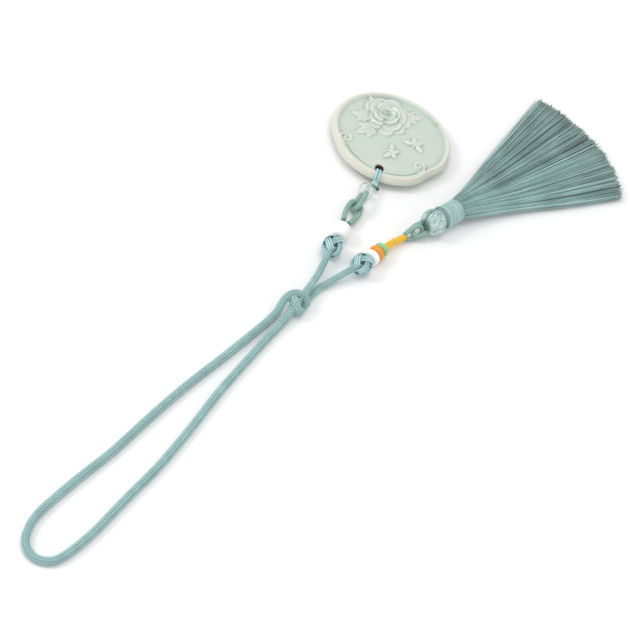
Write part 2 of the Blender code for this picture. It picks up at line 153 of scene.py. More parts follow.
def addPiece(name, mesh, finish, replaced=(), smooth=True):
    # one object at the origin that rides on the root and stands for the CAD nodes named
    mesh.materials.append(finish)
    mesh.polygons.foreach_set("use_smooth", np.full(len(mesh.polygons), smooth))
    mesh.update()
    piece = bpy.data.objects.new(name, mesh)
    bpy.context.scene.collection.objects.link(piece)
    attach(piece, "root")
    if replaced:
        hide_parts(*replaced)
    print(name, sum(len(p.vertices) - 2 for p in mesh.polygons), "triangles")
    return piece


# Finishes
def newFinish(name):
    made = bpy.data.materials.new(name)
    made.use_nodes = True
    return made, made.node_tree.nodes, made.node_tree.links, made.node_tree.nodes["Principled BSDF"]


def attributeNode(nodes, name):
    node = nodes.new("ShaderNodeAttribute")
    node.attribute_name = name
    return node


def noiseNode(nodes, links, scale, detail, coordinates):
    node = nodes.new("ShaderNodeTexNoise")
    node.inputs["Scale"].default_value = scale
    node.inputs["Detail"].default_value = detail
    links.new(coordinates, node.inputs["Vector"])
    return node


def rangeNode(nodes, links, source, low, high, start=0.3, end=0.7):
    node = nodes.new("ShaderNodeMapRange")
    node.inputs["From Min"].default_value = start
    node.inputs["From Max"].default_value = end
    node.inputs["To Min"].default_value = low
    node.inputs["To Max"].default_value = high
    links.new(source, node.inputs["Value"])
    return node


def mathNode(nodes, links, operation, first, second):
    node = nodes.new("ShaderNodeMath")
    node.operation = operation
    for socket, value in zip(node.inputs, (first, second)):
        if isinstance(value, float):
            socket.default_value = value
        else:
            links.new(value, socket)
    return node


def rampNode(nodes, links, source, stops):
    node = nodes.new("ShaderNodeValToRGB")
    ramp = node.color_ramp
    while len(ramp.elements) < len(stops):
        ramp.elements.new(0.5)
    for element, (place, color) in zip(ramp.elements, stops):
        element.position = place
        element.color = (*color, 1.0)
    links.new(source, node.inputs["Fac"])
    return node


def clothFinish(name, look):
    # colour = ramp(crown) x (patch noise + tone), where the ramp paints shade into the grooves and highlight onto the
    # crests; the bump is fibre noise
    made, nodes, links, shader = newFinish(name)
    place = nodes.new("ShaderNodeTexCoord").outputs["Object"]
    ramp = rampNode(nodes, links, attributeNode(nodes, "crown").outputs["Fac"], look["stops"])
    patch = noiseNode(nodes, links, look["patchScale"], 3.0, place)
    patchValue = rangeNode(nodes, links, patch.outputs["Fac"], 1 - look["patch"], 1 + look["patch"])
    tone = rangeNode(nodes, links, attributeNode(nodes, "tone").outputs["Fac"], -look["tone"], look["tone"], 0.0, 1.0)
    value = mathNode(nodes, links, "ADD", patchValue.outputs["Result"], tone.outputs["Result"])
    shift = nodes.new("ShaderNodeHueSaturation")
    links.new(ramp.outputs["Color"], shift.inputs["Color"])
    links.new(value.outputs["Value"], shift.inputs["Value"])
    links.new(shift.outputs["Color"], shader.inputs["Base Color"])
    fibre = noiseNode(nodes, links, look["fibreScale"], 4.0, place)
    rough = rangeNode(nodes, links, fibre.outputs["Fac"], *look["roughness"])
    links.new(rough.outputs["Result"], shader.inputs["Roughness"])
    bump = nodes.new("ShaderNodeBump")
    bump.inputs["Strength"].default_value = look["bump"]
    bump.inputs["Distance"].default_value = look["bumpDepth"] * mm
    links.new(fibre.outputs["Fac"], bump.inputs["Height"])
    links.new(bump.outputs["Normal"], shader.inputs["Normal"])
    shader.inputs["Sheen Weight"].default_value = look["sheen"]
    shader.inputs["Sheen Roughness"].default_value = 0.4
    shader.inputs["Specular IOR Level"].default_value = look["specular"]
    return made


# in these looks the dark stop is painted shade in the grooves and the light stop painted highlight on the crests,
# except the singed thread, where they are its char
cordLook = dict(stops=((0.0, (0.060, 0.150, 0.155)), (0.5, (0.265, 0.450, 0.445)), (1.0, (0.500, 0.710, 0.690))),
                patchScale=260.0, patch=0.07, tone=0.10, fibreScale=3200.0, roughness=(0.55, 0.75), bump=0.5,
                bumpDepth=0.12, sheen=0.25, specular=0.35)
knotLook = dict(cordLook, stops=((0.0, (0.028, 0.085, 0.095)), (0.5, (0.175, 0.355, 0.370)), (1.0, (0.470, 0.700, 0.700))),
                roughness=(0.38, 0.55), sheen=0.15, specular=0.45)
linkLook = dict(cordLook, stops=((0.0, (0.035, 0.090, 0.075)), (0.5, (0.170, 0.310, 0.265)), (1.0, (0.370, 0.540, 0.470))),
                roughness=(0.36, 0.52), sheen=0.15, specular=0.45)
silkLook = dict(cordLook, stops=((0.0, (0.045, 0.105, 0.105)), (0.5, (0.235, 0.395, 0.380)), (1.0, (0.500, 0.690, 0.655))),
                patchScale=70.0, patch=0.16, tone=0.55, roughness=(0.34, 0.5), bump=0.25, bumpDepth=0.05, sheen=0.2,
                specular=0.5)
knobLook = dict(silkLook, stops=((0.0, (0.030, 0.085, 0.085)), (0.45, (0.230, 0.400, 0.385)), (1.0, (0.740, 0.900, 0.860))),
                patch=0.08, tone=0.22, roughness=(0.28, 0.42), specular=0.6)
threadLook = dict(cordLook, stops=((0.0, (0.090, 0.240, 0.270)), (0.5, (0.300, 0.550, 0.580)), (1.0, (0.580, 0.820, 0.820))),
                  roughness=(0.35, 0.5), bump=0.3, bumpDepth=0.06, specular=0.45)
singedLook = dict(cordLook, stops=((0.0, (0.020, 0.030, 0.028)), (0.5, (0.060, 0.085, 0.080)), (1.0, (0.130, 0.160, 0.150))),
                  roughness=(0.3, 0.6), bump=0.6, bumpDepth=0.15, sheen=0.0)
cordFinish = clothFinish("knitted cord", cordLook)
knotFinish = clothFinish("button knot strand", knotLook)
linkFinish = clothFinish("satin loop", linkLook)
silkFinish = clothFinish("tassel silk", silkLook)
knobFinish = clothFinish("looped silk", knobLook)
threadFinish = clothFinish("waxed thread", threadLook)
singedFinish = clothFinish("singed thread", singedLook)


def beadFinish(name, deep, bright, roughness=0.12, transmission=0.0, weight=0.0, bumpDepth=0.004, ior=1.5):
    # colour streaks between deep and bright; a slow noise bends the gloss a little
    made, nodes, links, shader = newFinish(name)
    place = nodes.new("ShaderNodeTexCoord").outputs["Object"]
    streak = noiseNode(nodes, links, 240.0, 2.0, place)
    ramp = rampNode(nodes, links, streak.outputs["Fac"], ((0.30, deep), (0.70, bright)))
    links.new(ramp.outputs["Color"], shader.inputs["Base Color"])
    wear = noiseNode(nodes, links, 1500.0, 3.0, place)
    rough = rangeNode(nodes, links, wear.outputs["Fac"], roughness * 0.8, roughness * 1.5)
    links.new(rough.outputs["Result"], shader.inputs["Roughness"])
    bump = nodes.new("ShaderNodeBump")
    bump.inputs["Strength"].default_value = 0.25
    bump.inputs["Distance"].default_value = bumpDepth * mm
    links.new(streak.outputs["Fac"], bump.inputs["Height"])
    if bumpDepth > 0:
        links.new(bump.outputs["Normal"], shader.inputs["Normal"])
    shader.inputs["Transmission Weight"].default_value = transmission
    shader.inputs["Subsurface Weight"].default_value = weight
    shader.inputs["Subsurface Radius"].default_value = (1.0, 0.6, 0.3)
    shader.inputs["Subsurface Scale"].default_value = 0.002
    shader.inputs["IOR"].default_value = ior
    return made


whiteFinish = beadFinish("white glass", (0.91, 0.92, 0.92), (0.97, 0.97, 0.965))
clearFinish = beadFinish("clear crystal", (0.95, 0.96, 0.97), (1.0, 1.0, 1.0), 0.04, 0.9, 0.0, 0.0, 1.28)
yellowFinish = beadFinish("amber yellow glass", (0.80, 0.42, 0.010), (0.88, 0.55, 0.030), 0.12, 0.0, 0.15)
orangeFinish = beadFinish("orange glass", (0.80, 0.27, 0.012), (0.88, 0.40, 0.040), 0.12, 0.0, 0.15)
greenFinish = beadFinish("light green glass", (0.24, 0.56, 0.30), (0.38, 0.72, 0.43), 0.12, 0.0, 0.15)


def glazeFinish():
    # colour = ramp(crown) from pooled green to pale crests, which is partly the glaze's pooling and partly painted
    # shade in the hollows, mixed to a warm rim by tone; faint specks; glossy
    made, nodes, links, shader = newFinish("celadon glaze")
    place = nodes.new("ShaderNodeTexCoord").outputs["Object"]
    cloud = noiseNode(nodes, links, 150.0, 3.0, place)
    cloudValue = rangeNode(nodes, links, cloud.outputs["Fac"], -0.05, 0.05)
    crest = mathNode(nodes, links, "ADD", attributeNode(nodes, "crown").outputs["Fac"], cloudValue.outputs["Result"])
    ramp = rampNode(nodes, links, crest.outputs["Value"], (
        (0.0, (0.300, 0.395, 0.335)), (0.40, (0.520, 0.600, 0.530)), (0.6, (0.585, 0.635, 0.570)),
        (1.0, (0.740, 0.745, 0.665))))
    mix = nodes.new("ShaderNodeMix")
    mix.data_type = "RGBA"
    links.new(attributeNode(nodes, "tone").outputs["Fac"], mix.inputs["Factor"])
    links.new(ramp.outputs["Color"], mix.inputs[6])
    mix.inputs[7].default_value = (0.715, 0.690, 0.595, 1.0)
    speck = noiseNode(nodes, links, 2600.0, 2.0, place)
    speckValue = rangeNode(nodes, links, speck.outputs["Fac"], 0.94, 1.03, 0.25, 0.6)
    shift = nodes.new("ShaderNodeHueSaturation")
    links.new(mix.outputs[2], shift.inputs["Color"])
    links.new(speckValue.outputs["Result"], shift.inputs["Value"])
    links.new(shift.outputs["Color"], shader.inputs["Base Color"])
    rough = rangeNode(nodes, links, cloud.outputs["Fac"], 0.11, 0.19)
    links.new(rough.outputs["Result"], shader.inputs["Roughness"])
    bump = nodes.new("ShaderNodeBump")
    bump.inputs["Strength"].default_value = 0.2
    bump.inputs["Distance"].default_value = 0.15 * mm
    links.new(cloud.outputs["Fac"], bump.inputs["Height"])
    links.new(bump.outputs["Normal"], shader.inputs["Normal"])
    return made


glaze = glazeFinish()
clay = clothFinish("bare clay", dict(cordLook, stops=((0.0, (0.050, 0.022, 0.018)), (0.5, (0.130, 0.060, 0.048)),
                                                      (1.0, (0.260, 0.150, 0.120))), sheen=0.0, bumpDepth=0.2))


# Camera, light and table
shot = dict(lens=120.0, azimuth=-64.0, elevation=50.0, roll=22.2, distance=0.85333, aim=(-0.006, -0.020, 0.0))


def addCamera():
    # right and back come from azimuth and elevation, and the roll turns right and up about back
    a, e, r = np.radians([shot["azimuth"], shot["elevation"], shot["roll"]])
    right = np.array([np.cos(a), np.sin(a), 0.0])
    back = np.array([np.sin(a) * np.cos(e), -np.cos(a) * np.cos(e), np.sin(e)])
    up = np.cross(back, right)
    columns = np.stack([np.cos(r) * right + np.sin(r) * up, np.cos(r) * up - np.sin(r) * right, back], axis=1)
    matrix = Matrix.Identity(4)
    for k in range(3):
        matrix[k][:3] = columns[k].tolist()
        matrix[k][3] = shot["aim"][k] + float(back[k]) * shot["distance"]
    data = bpy.data.cameras.new("camera")
    data.lens = shot["lens"]
    data.sensor_width = 36.0
    data.sensor_fit = "HORIZONTAL"
    data.clip_start = 0.01
    data.clip_end = 20.0
    camera = bpy.data.objects.new("camera", data)
    camera.matrix_world = matrix
    bpy.context.scene.collection.objects.link(camera)
    bpy.context.scene.camera = camera


studio = dict(world=0.83, overhead=4.5, overheadSize=0.9, key=3.6, keySize=0.35)


def addArea(name, place, aim, size, power):
    data = bpy.data.lights.new(name, "AREA")
    data.shape = "DISK"
    data.size = size
    data.energy = power
    lamp = bpy.data.objects.new(name, data)
    back = np.array(place, float) - np.array(aim, float)
    axes = axesAlong(back)
    columns = np.stack([axes[:, 1], np.cross(axes[:, 0], axes[:, 1]), axes[:, 0]], axis=1)
    matrix = Matrix.Identity(4)
    for k in range(3):
        matrix[k][:3] = columns[k].tolist()
        matrix[k][3] = float(place[k])
    lamp.matrix_world = matrix
    bpy.context.scene.collection.objects.link(lamp)


def addStudio():
    bpy.context.scene.view_settings.view_transform = "Standard"
    world = bpy.data.worlds.new("studio")
    world.use_nodes = True
    world.node_tree.nodes["Background"].inputs["Color"].default_value = (1.0, 1.0, 1.0, 1.0)
    world.node_tree.nodes["Background"].inputs["Strength"].default_value = studio["world"]
    bpy.context.scene.world = world
    addArea("overhead", (0.05, 0.10, 1.5), (0.0, 0.0, 0.0), studio["overheadSize"], studio["overhead"])
    addArea("key", (-0.55, 0.70, 0.85), (0.05, 0.0, 0.0), studio["keySize"], studio["key"])
    paper, nodes, links, shader = newFinish("white paper")
    grain = noiseNode(nodes, links, 40.0, 2.0, nodes.new("ShaderNodeTexCoord").outputs["Object"])
    ramp = rampNode(nodes, links, grain.outputs["Fac"], ((0.3, (0.90, 0.90, 0.90)), (0.7, (0.92, 0.92, 0.92))))
    links.new(ramp.outputs["Color"], shader.inputs["Base Color"])
    shader.inputs["Roughness"].default_value = 0.9
    shader.inputs["Specular IOR Level"].default_value = 0.1
    floor = bpy.data.meshes.new("table")
    floor.from_pydata([(-3, -3, 0), (3, -3, 0), (3, 3, 0), (-3, 3, 0)], [], [(0, 1, 2, 3)])
    floor.materials.append(paper)
    table = bpy.data.objects.new("table", floor)
    bpy.context.scene.collection.objects.link(table)


addCamera()
addStudio()
print("camera, light and table")

# Knitted cord
cord = dict(loopRadius=1.66, armRadius=1.53, knotRadius=1.62, pitch=0.95, legs=8, samples=5, stitchDepth=0.42,
            slant=1.0, step=0.19, lobe=(-12.4, -10.0, 6.3), lobeSwell=0.36)
loopRoute = ((-25.0, -8.2, 1.85), (-31.0, -8.7, 1.72), (-52.5, -10.0, 1.72), (-74.0, -11.0, 1.72),
             (-95.5, -13.0, 1.72), (-116.5, -15.5, 1.72), (-136.5, -16.6, 1.72), (-155.5, -18.4, 1.72),
             (-164.8, -21.7, 1.72), (-169.4, -26.0, 1.72), (-170.3, -31.0, 1.72), (-167.6, -35.3, 1.72),
             (-162.0, -37.4, 1.72), (-147.5, -36.9, 1.72), (-127.8, -33.8, 1.72), (-107.6, -30.8, 1.72),
             (-86.7, -26.2, 1.72), (-65.2, -20.7, 1.72), (-43.0, -16.2, 1.72), (-31.5, -14.0, 1.72),
             (-25.0, -13.0, 1.9), (-19.3, -12.1, 2.65))
straightRoute = ((21.5, 1.0, 4.7), (17.45, -0.55, 4.6), (12.9, -2.6, 3.7), (8.7, -4.3, 3.6), (4.4, -5.8, 4.2),
                 (0.6, -7.1, 5.0), (-2.4, -8.1, 5.35), (-6.4, -9.1, 5.2), (-10.5, -9.8, 4.7), (-14.4, -10.9, 3.9),
                 (-17.6, -11.75, 2.95))
tiedRoute = ((-20.4, -7.7, 2.4), (-18.9, -7.5, 3.0), (-17.0, -6.9, 4.7), (-14.6, -6.4, 6.1), (-11.2, -6.5, 6.8),
             (-8.3, -8.3, 6.8), (-6.9, -10.9, 5.2), (-7.3, -12.3, 3.4), (-8.4, -11.0, 2.2), (-9.3, -8.6, 1.75),
             (-9.6, -6.5, 2.4), (-10.0, -6.0, 4.1), (-11.4, -8.0, 5.9), (-12.8, -10.3, 6.4), (-13.0, -12.3, 4.6),
             (-11.6, -13.1, 2.5), (-9.4, -12.4, 1.75), (-6.8, -11.2, 1.72), (-2.4, -10.0, 1.8), (0.6, -9.6, 1.75),
             (4.0, -9.2, 1.8), (8.0, -9.6, 2.1), (12.5, -10.3, 3.0), (16.8, -11.1, 4.0), (20.5, -11.65, 4.5),
             (24.5, -12.2, 4.6))


def cordLine():
    # straight strand out of the pendant's button knot, round the hanging loop, and the strand tied about it
    route = straightRoute + loopRoute[::-1] + tiedRoute
    line = curveThrough(route, cord["step"])
    line[:, 2] -= 0.1
    along = distanceAlong(line)
    inKnot = smoothStep((line[:, 0] + 21.0) / 5.0)
    inArm = smoothStep((line[:, 0] + 3.0) / 4.0)
    radius = cord["loopRadius"] + (cord["knotRadius"] - cord["loopRadius"]) * inKnot
    radius = radius + (cord["armRadius"] - cord["knotRadius"]) * inArm
    fromLobe = np.linalg.norm(line - np.array(cord["lobe"]), axis=1)
    radius = radius + cord["lobeSwell"] * np.exp(-(fromLobe / 3.2) ** 2)
    return line, along, radius


def knittedCord():
    # each leg of a stitch is a slanting rib: radius = r - depth (1 - across (0.35 + 0.65 along)), where across is
    # the rib's crown round the cord and along is |cos| of the distance over the pitch; rows zigzag with the legs
    line, along, radius = cordLine()
    tangents, normals, sideways = framesAlong(line)
    sides = cord["legs"] * cord["samples"]
    column = np.arange(sides)
    share = (column % cord["samples"]) / cord["samples"]
    odd = (column // cord["samples"]) % 2
    legWidth = 2 * np.pi * cord["loopRadius"] / cord["legs"]
    zigzag = np.where(odd == 1, 1 - share, share) * legWidth * cord["slant"] / cord["step"]
    rows = len(line) - int(np.ceil(zigzag.max())) - 1
    row = np.arange(rows)[:, None] + zigzag[None]
    low = row.astype(int)
    part = (row - low)[..., None]
    centre = line[low] * (1 - part) + line[low + 1] * part
    normal = normals[low] * (1 - part) + normals[low + 1] * part
    across = sideways[low] * (1 - part) + sideways[low + 1] * part
    turn = (2 * np.pi * column / sides)[None, :, None]
    outward = normal * np.cos(turn) + across * np.sin(turn)
    crownAcross = np.sqrt(np.clip(1 - (2 * np.abs(share - 0.5) * 0.96) ** 2, 0, 1))[None]
    ribs = np.abs(np.cos(np.pi * np.arange(rows) * cord["step"] / cord["pitch"]))[:, None] ** 1.1
    # crown paints shade into the grooves between stitches and highlight onto the ribs; it also sets the stitch depth
    crown = crownAcross ** 0.6 * (0.04 + 0.96 * ribs)
    reach = radius[low] - cord["stitchDepth"] * (1 - crown)
    points = centre + outward * reach[..., None]
    points[..., 2] = np.maximum(points[..., 2], 0.01)
    rng = np.random.default_rng(3)
    wander = np.interp(np.arange(rows), np.linspace(0, rows, 160), rng.uniform(0.2, 0.8, 160))
    return line, along, points, crown, np.repeat(wander[:, None], sides, axis=1)


cordPath, cordAlong, cordPoints, cordCrown, cordTone = knittedCord()
cordPiece = addPiece("knittedCord", meshFrom("knittedCord", [dict(points=cordPoints, crown=cordCrown, tone=cordTone)]),
                     cordFinish, ("hanging_loop", "overhand_knot", "arm_pendant", "arm_tassel"))

# Woven button knots
buttonKnot = dict(radius=3.85, lift=0.40, strand=0.48, spacing=0.93, bights=4, latitude=58.0, halfLength=4.9,
                  core=3.5, floor=0.03)


def buttonKnotMesh(name, centre, direction):
    # longitude = s, latitude = L sin(bights s / 3), radius = R + lift sin(2 bights s / 3) for s over three turns,
    # so strands pass over and under by turns; three strands lie side by side
    axes = axesAlong(direction)
    s = np.linspace(0, 6 * np.pi, 440)
    phase = buttonKnot["bights"] * s / 3
    latitude = np.radians(buttonKnot["latitude"]) * np.sin(phase)
    reach = buttonKnot["radius"] + buttonKnot["lift"] * np.sin(2 * phase)
    outward = np.stack([np.sin(latitude) * buttonKnot["halfLength"] / 4.7, np.cos(latitude) * np.cos(s),
                        np.cos(latitude) * np.sin(s)], axis=1)
    middle = outward * reach[:, None]
    ahead = unitRows(np.gradient(middle, axis=0))
    beside = unitRows(np.cross(ahead, unitRows(outward)))
    sheets = []
    for offset in (-1, 0, 1):
        local = unitRows(middle + beside * offset * buttonKnot["spacing"]) * np.linalg.norm(middle, axis=1)[:, None]
        path = local @ axes.T + centre
        path[:, 2] = np.maximum(path[:, 2], buttonKnot["floor"] + buttonKnot["strand"])
        fibres = 1 + 0.05 * np.cos(np.linspace(0, 2 * np.pi, 12, endpoint=False)[None] * 4
                                   + np.arange(len(s))[:, None] * 0.9)
        tube = tubeAround(path, buttonKnot["strand"] * fibres, 12)
        away = np.linalg.norm(tube - np.array(centre), axis=2)
        crest = (away - np.linalg.norm(path - np.array(centre), axis=1)[:, None]) / buttonKnot["strand"]
        height = np.clip((away - 3.3) / 1.4, 0, 1)
        # crown paints shade down each strand's sides and deeper towards the core, and highlight on the outer crests
        sheets.append(dict(points=tube, crown=smoothStep((crest + 0.35) / 1.3) * (0.25 + 0.75 * height),
                           tone=0.5 + 0.25 * offset))
    polar = np.linspace(0.02, np.pi - 0.02, 24)[:, None]
    round_ = np.linspace(0, 2 * np.pi, 32, endpoint=False)[None]
    ball = np.stack([np.repeat(-np.cos(polar), 32, axis=1), np.sin(polar) * np.cos(round_),
                     np.sin(polar) * np.sin(round_)], axis=-1) * buttonKnot["core"]
    # the core ball is painted near black, as shade between the strands
    sheets.append(dict(points=ball @ axes.T + centre, crown=0.05))
    return meshFrom(name, sheets)


for knotName, knotCentre, knotHeading in (("pendantButtonKnot", (22.5, 1.4, 4.6), (0.93, 0.36, 0.0)),
                                          ("tasselButtonKnot", (25.9, -12.3, 4.6), (0.995, -0.1, 0.0))):
    addPiece(knotName, buttonKnotMesh(knotName, np.array(knotCentre), knotHeading), knotFinish,
             ("button_knot_pendant" if "pendant" in knotName else "button_knot_tassel",))

# Beads
beadShape = dict(bore=0.95, sides=56, rows=30)


def beadSheet(centre, axes, radius, half, fullness):
    # outside: x = half sin t, r = bore + 0.2 + (radius - bore - 0.2) cos(t)^fullness; inside: the straight bore
    t = np.linspace(-0.5, 0.5, beadShape["rows"]) * np.pi
    outside = np.stack([half * np.sin(t), beadShape["bore"] + 0.2
                        + (radius - beadShape["bore"] - 0.2) * np.clip(np.cos(t), 0, 1) ** fullness], axis=1)
    inside = np.stack([np.linspace(half - 0.15, 0.15 - half, 6), np.full(6, beadShape["bore"])], axis=1)
    outline = np.vstack([outside, inside, outside[:1]])
    turn = np.linspace(0, 2 * np.pi, beadShape["sides"], endpoint=False)
    local = np.stack([np.repeat(outline[:, :1], len(turn), axis=1), -outline[:, 1:] * np.sin(turn)[None],
                      outline[:, 1:] * np.cos(turn)[None]], axis=-1)
    return dict(points=local @ axes.T + centre, capped=False)


pendantHeading = np.array([0.93, 0.36, 0.0])
pendantAxes = axesAlong(pendantHeading)
pendantBall = np.array([22.5, 1.4, 4.6])
whiteCentre = pendantBall + pendantAxes @ np.array([10.0, 0.0, -0.6])
addPiece("pendantWhiteBead", meshFrom("pendantWhiteBead", [beadSheet(whiteCentre, pendantAxes, 4.0, 3.8, 0.62)]),
         whiteFinish, ("white_bead_pendant",))
chainRoute = curveThrough(((31.3, -12.25, 3.65), (36.0, -11.9, 3.65), (41.5, -11.75, 3.4), (48.0, -11.9, 2.8),
                           (54.0, -12.75, 2.5)), 0.1)
chainAlong = distanceAlong(chainRoute)
tasselBeads = (("tasselWhiteBead", "white_bead_tassel", 3.55, 1.6, 0.42, whiteFinish, "white_bead"),
               ("orangeBead", "orange_bead", 3.6, 1.5, 0.42, orangeFinish, "orange_bead"),
               ("greenBead", "green_bead", 3.3, 1.2, 0.42, greenFinish, "green_bead"),
               ("yellowBead1", "yellow_bead_1", 1.5, 3.15, 0.2, yellowFinish, "yellow_bead"),
               ("yellowBead2", "yellow_bead_2", 1.5, 3.15, 0.2, yellowFinish, "yellow_bead"))
reached = 0.0
for beadName, nodeName, beadRadius, beadHalf, beadFullness, beadGlass, beadSlot in tasselBeads:
    at = int(np.searchsorted(chainAlong, reached + beadHalf))
    beadAxes = axesAlong(chainRoute[at + 8] - chainRoute[at - 8])
    addPiece(beadName, meshFrom(beadName, [beadSheet(chainRoute[at], beadAxes, beadRadius, beadHalf, beadFullness)]),
             beadGlass, (nodeName,))
    reached += 2 * beadHalf + 0.3
chainEnd = int(np.searchsorted(chainAlong, reached - 0.3))


def clearBeadMesh(name, centre, axes):
    # facets: rings of nine corners, every other ring turned half a step, joined by flat triangles
    rings = ((-2.3, 1.25), (-1.75, 2.45), (-0.65, 3.25), (0.65, 3.25), (1.75, 2.45), (2.3, 1.25))
    sides = 9
    turn = np.linspace(0, 2 * np.pi, sides, endpoint=False)
    verts, faces = [], []
    for k, (x, r) in enumerate(rings):
        angle = turn + (k % 2) * np.pi / sides
        verts.append(np.stack([np.full(sides, x), -r * np.sin(angle), r * np.cos(angle)], axis=1))
    for k in range(len(rings) - 1):
        index = np.arange(sides)
        following = (index + 1) % sides
        a, b, c, d = k * sides + index, k * sides + following, (k + 1) * sides + index, (k + 1) * sides + following
        if k % 2:
            faces += np.stack([a, b, d], axis=1).tolist() + np.stack([a, d, c], axis=1).tolist()
        else:
            faces += np.stack([a, b, c], axis=1).tolist() + np.stack([b, d, c], axis=1).tolist()
    inner = len(rings) * sides
    for x in (2.2, -2.2):
        verts.append(np.stack([np.full(sides, x), -0.95 * np.sin(turn + np.pi / sides),
                               0.95 * np.cos(turn + np.pi / sides)], axis=1))
    index = np.arange(sides)
    following = (index + 1) % sides
    for low, high in (((len(rings) - 1) * sides, inner), (inner, inner + sides), (inner + sides, 0)):
        faces += np.stack([low + index, low + following, high + following, high + index], axis=1).tolist()
    mesh = bpy.data.meshes.new(name)
    mesh.from_pydata(((np.vstack(verts) @ axes.T + centre) * mm).tolist(), [], faces)
    work = bmesh.new()
    work.from_mesh(mesh)
    bmesh.ops.recalc_face_normals(work, faces=work.faces)
    work.to_mesh(mesh)
    work.free()
    return mesh


linkStart = pendantBall + pendantAxes @ np.array([16.3, 0.0, -1.0])
clearCentre = np.array([58.6, 14.4, 3.5])
clearAxes = axesAlong(clearCentre - linkStart)
addPiece("clearBead", clearBeadMesh("clearBead", clearCentre, clearAxes), clearFinish, ("clear_bead",),
         smooth=False)

# Satin loops hooked in pairs, and the strings inside the beads
satin = dict(ridges=7, ridgeDepth=0.09, twist=2.4, step=0.3, sides=28)


def linkMesh(name, start, direction, tilt, length, width, base, radius):
    # route: legs part from the base to the full width and join in a round bend; radius = r - depth (1 - |cos|) for
    # ridges that wind about the strand
    bend = length - width
    half = [(0.0, base), (0.24 * length, base + 0.62 * (width - base)), (0.5 * bend + 0.2 * length, width)]
    half += [(bend + width * np.sin(a), width * np.cos(a)) for a in (0.5, 1.05)]
    flat = [(x, y, 0.0) for x, y in half] + [(length, 0.0, 0.0)] + [(x, -y, 0.0) for x, y in half[::-1]]
    path = curveThrough(np.array(flat) @ axesAlong(direction, tilt).T + start, satin["step"])
    along = distanceAlong(path)
    turn = np.linspace(0, 2 * np.pi, satin["sides"], endpoint=False)
    ridge = np.abs(np.cos(0.5 * satin["ridges"] * turn[None] + np.pi * along[:, None] / satin["twist"]))
    ends = np.clip(np.minimum(along, along[-1] - along) / 0.5, 0, 1)
    swell = radius * (0.82 + 0.18 * np.sqrt(1 - (1 - ends) ** 2))
    points = tubeAround(path, swell[:, None] - satin["ridgeDepth"] * (1 - ridge), satin["sides"])
    points[..., 2] = np.maximum(points[..., 2], 0.02)
    # crown paints shade between the ridges and at the pinched ends, and highlight on the ridges
    return meshFrom(name, [dict(points=points, crown=(0.15 + 0.85 * ridge) * (0.4 + 0.6 * ends[:, None]))])


def stringMesh(name, path, radius, twist=1.6, crown=0.75):
    # three plies: radius = r (0.9 + 0.1 |cos(1.5 a + pi s / twist)|)
    along = distanceAlong(path)
    turn = np.linspace(0, 2 * np.pi, 15, endpoint=False)
    ply = np.abs(np.cos(1.5 * turn[None] + np.pi * along[:, None] / twist))
    # crown paints shade between the plies and highlight on each ply
    return meshFrom(name, [dict(points=tubeAround(path, radius * (0.86 + 0.14 * ply), 15), crown=0.3 + crown * 0.7 * ply)])


line = clearCentre - linkStart
lineUnit = line / np.linalg.norm(line)
addPiece("satinLoop1", linkMesh("satinLoop1", linkStart, line, 20, 12.4, 2.85, 1.3, 1.15), linkFinish, ("link_1",))
addPiece("satinLoop2", linkMesh("satinLoop2", clearCentre - lineUnit * 2.6, -line, 60, 10.8, 2.75, 1.35, 1.15),
         linkFinish, ("link_2",))
tasselTurn = np.radians(-7.0)
knobCentre = np.array([68.1, -15.6, 5.4])
tasselAxes = axesAlong((np.cos(tasselTurn), np.sin(tasselTurn), 0.0))
linkFirst = chainRoute[min(chainEnd + 3, len(chainRoute) - 1)]
linkLast = knobCentre + tasselAxes @ np.array([-4.7, 0.0, -0.9])
span = linkLast - linkFirst
spanLength = float(np.linalg.norm(span))
addPiece("satinLoop3", linkMesh("satinLoop3", linkFirst, span, 58, 0.86 * spanLength, 2.25, 1.05, 1.02), linkFinish,
         ("link_3",))
addPiece("satinLoop4", linkMesh("satinLoop4", linkLast, -span, -18, 0.60 * spanLength, 2.4, 2.3, 1.12), linkFinish,
         ("link_4",))
pendantString = curveThrough([pendantBall + pendantAxes @ np.array([x, 0.0, -0.6]) for x in (4.4, 10.0, 16.6)], 0.4)
addPiece("pendantString", stringMesh("pendantString", pendantString, 0.6), threadFinish, ("string_pendant",))
addPiece("tasselString", stringMesh("tasselString", chainRoute[:chainEnd + 4:3], 0.6), threadFinish,
         ("string_tassel",))
hangerString = curveThrough([clearCentre + clearAxes @ np.array([x, 0.0, 0.0]) for x in (-2.9, 0.0, 3.2)], 0.4)
addPiece("hangerString", stringMesh("hangerString", hangerString, 0.6), threadFinish, ("string_hanger",))
print("beads, loops and strings")

# Pendant
pendant = dict(cells=200, topShare=0.945, underShare=0.965, holePlace=(0.4, -20.8), holeRadius=1.9, holeRing=7,
               blendRing=15, turn=-64.0, centre=(89.3, 28.0, 0.0))
pendantPlace = axesAlong((np.cos(np.radians(pendant["turn"])), np.sin(np.radians(pendant["turn"])), 0.0))


def pendantEdge(angle):
    # 27 - 2.3 max(0, sin)^2, less a soft waist at each scroll
    edge = 27.0 - 2.3 * np.maximum(0.0, np.sin(angle)) ** 2
    for centre, depth in ((-33, 1.6), (-147, 0.8)):
        off = (np.degrees(angle) - centre + 180) % 360 - 180
        edge = edge - depth * np.exp(-(off / 13) ** 2)
    return edge


def squareToDisc(a, b):
    # concentric squares become concentric circles: radius max(|a|, |b|), angle in step along the square's side
    wide = np.abs(a) >= np.abs(b)
    big = np.where(wide, a, b)
    safe = np.where(big == 0, 1.0, big)
    angle = np.where(wide, np.pi / 4 * b / safe, np.pi / 2 - np.pi / 4 * a / safe)
    return big * np.cos(angle), big * np.sin(angle)


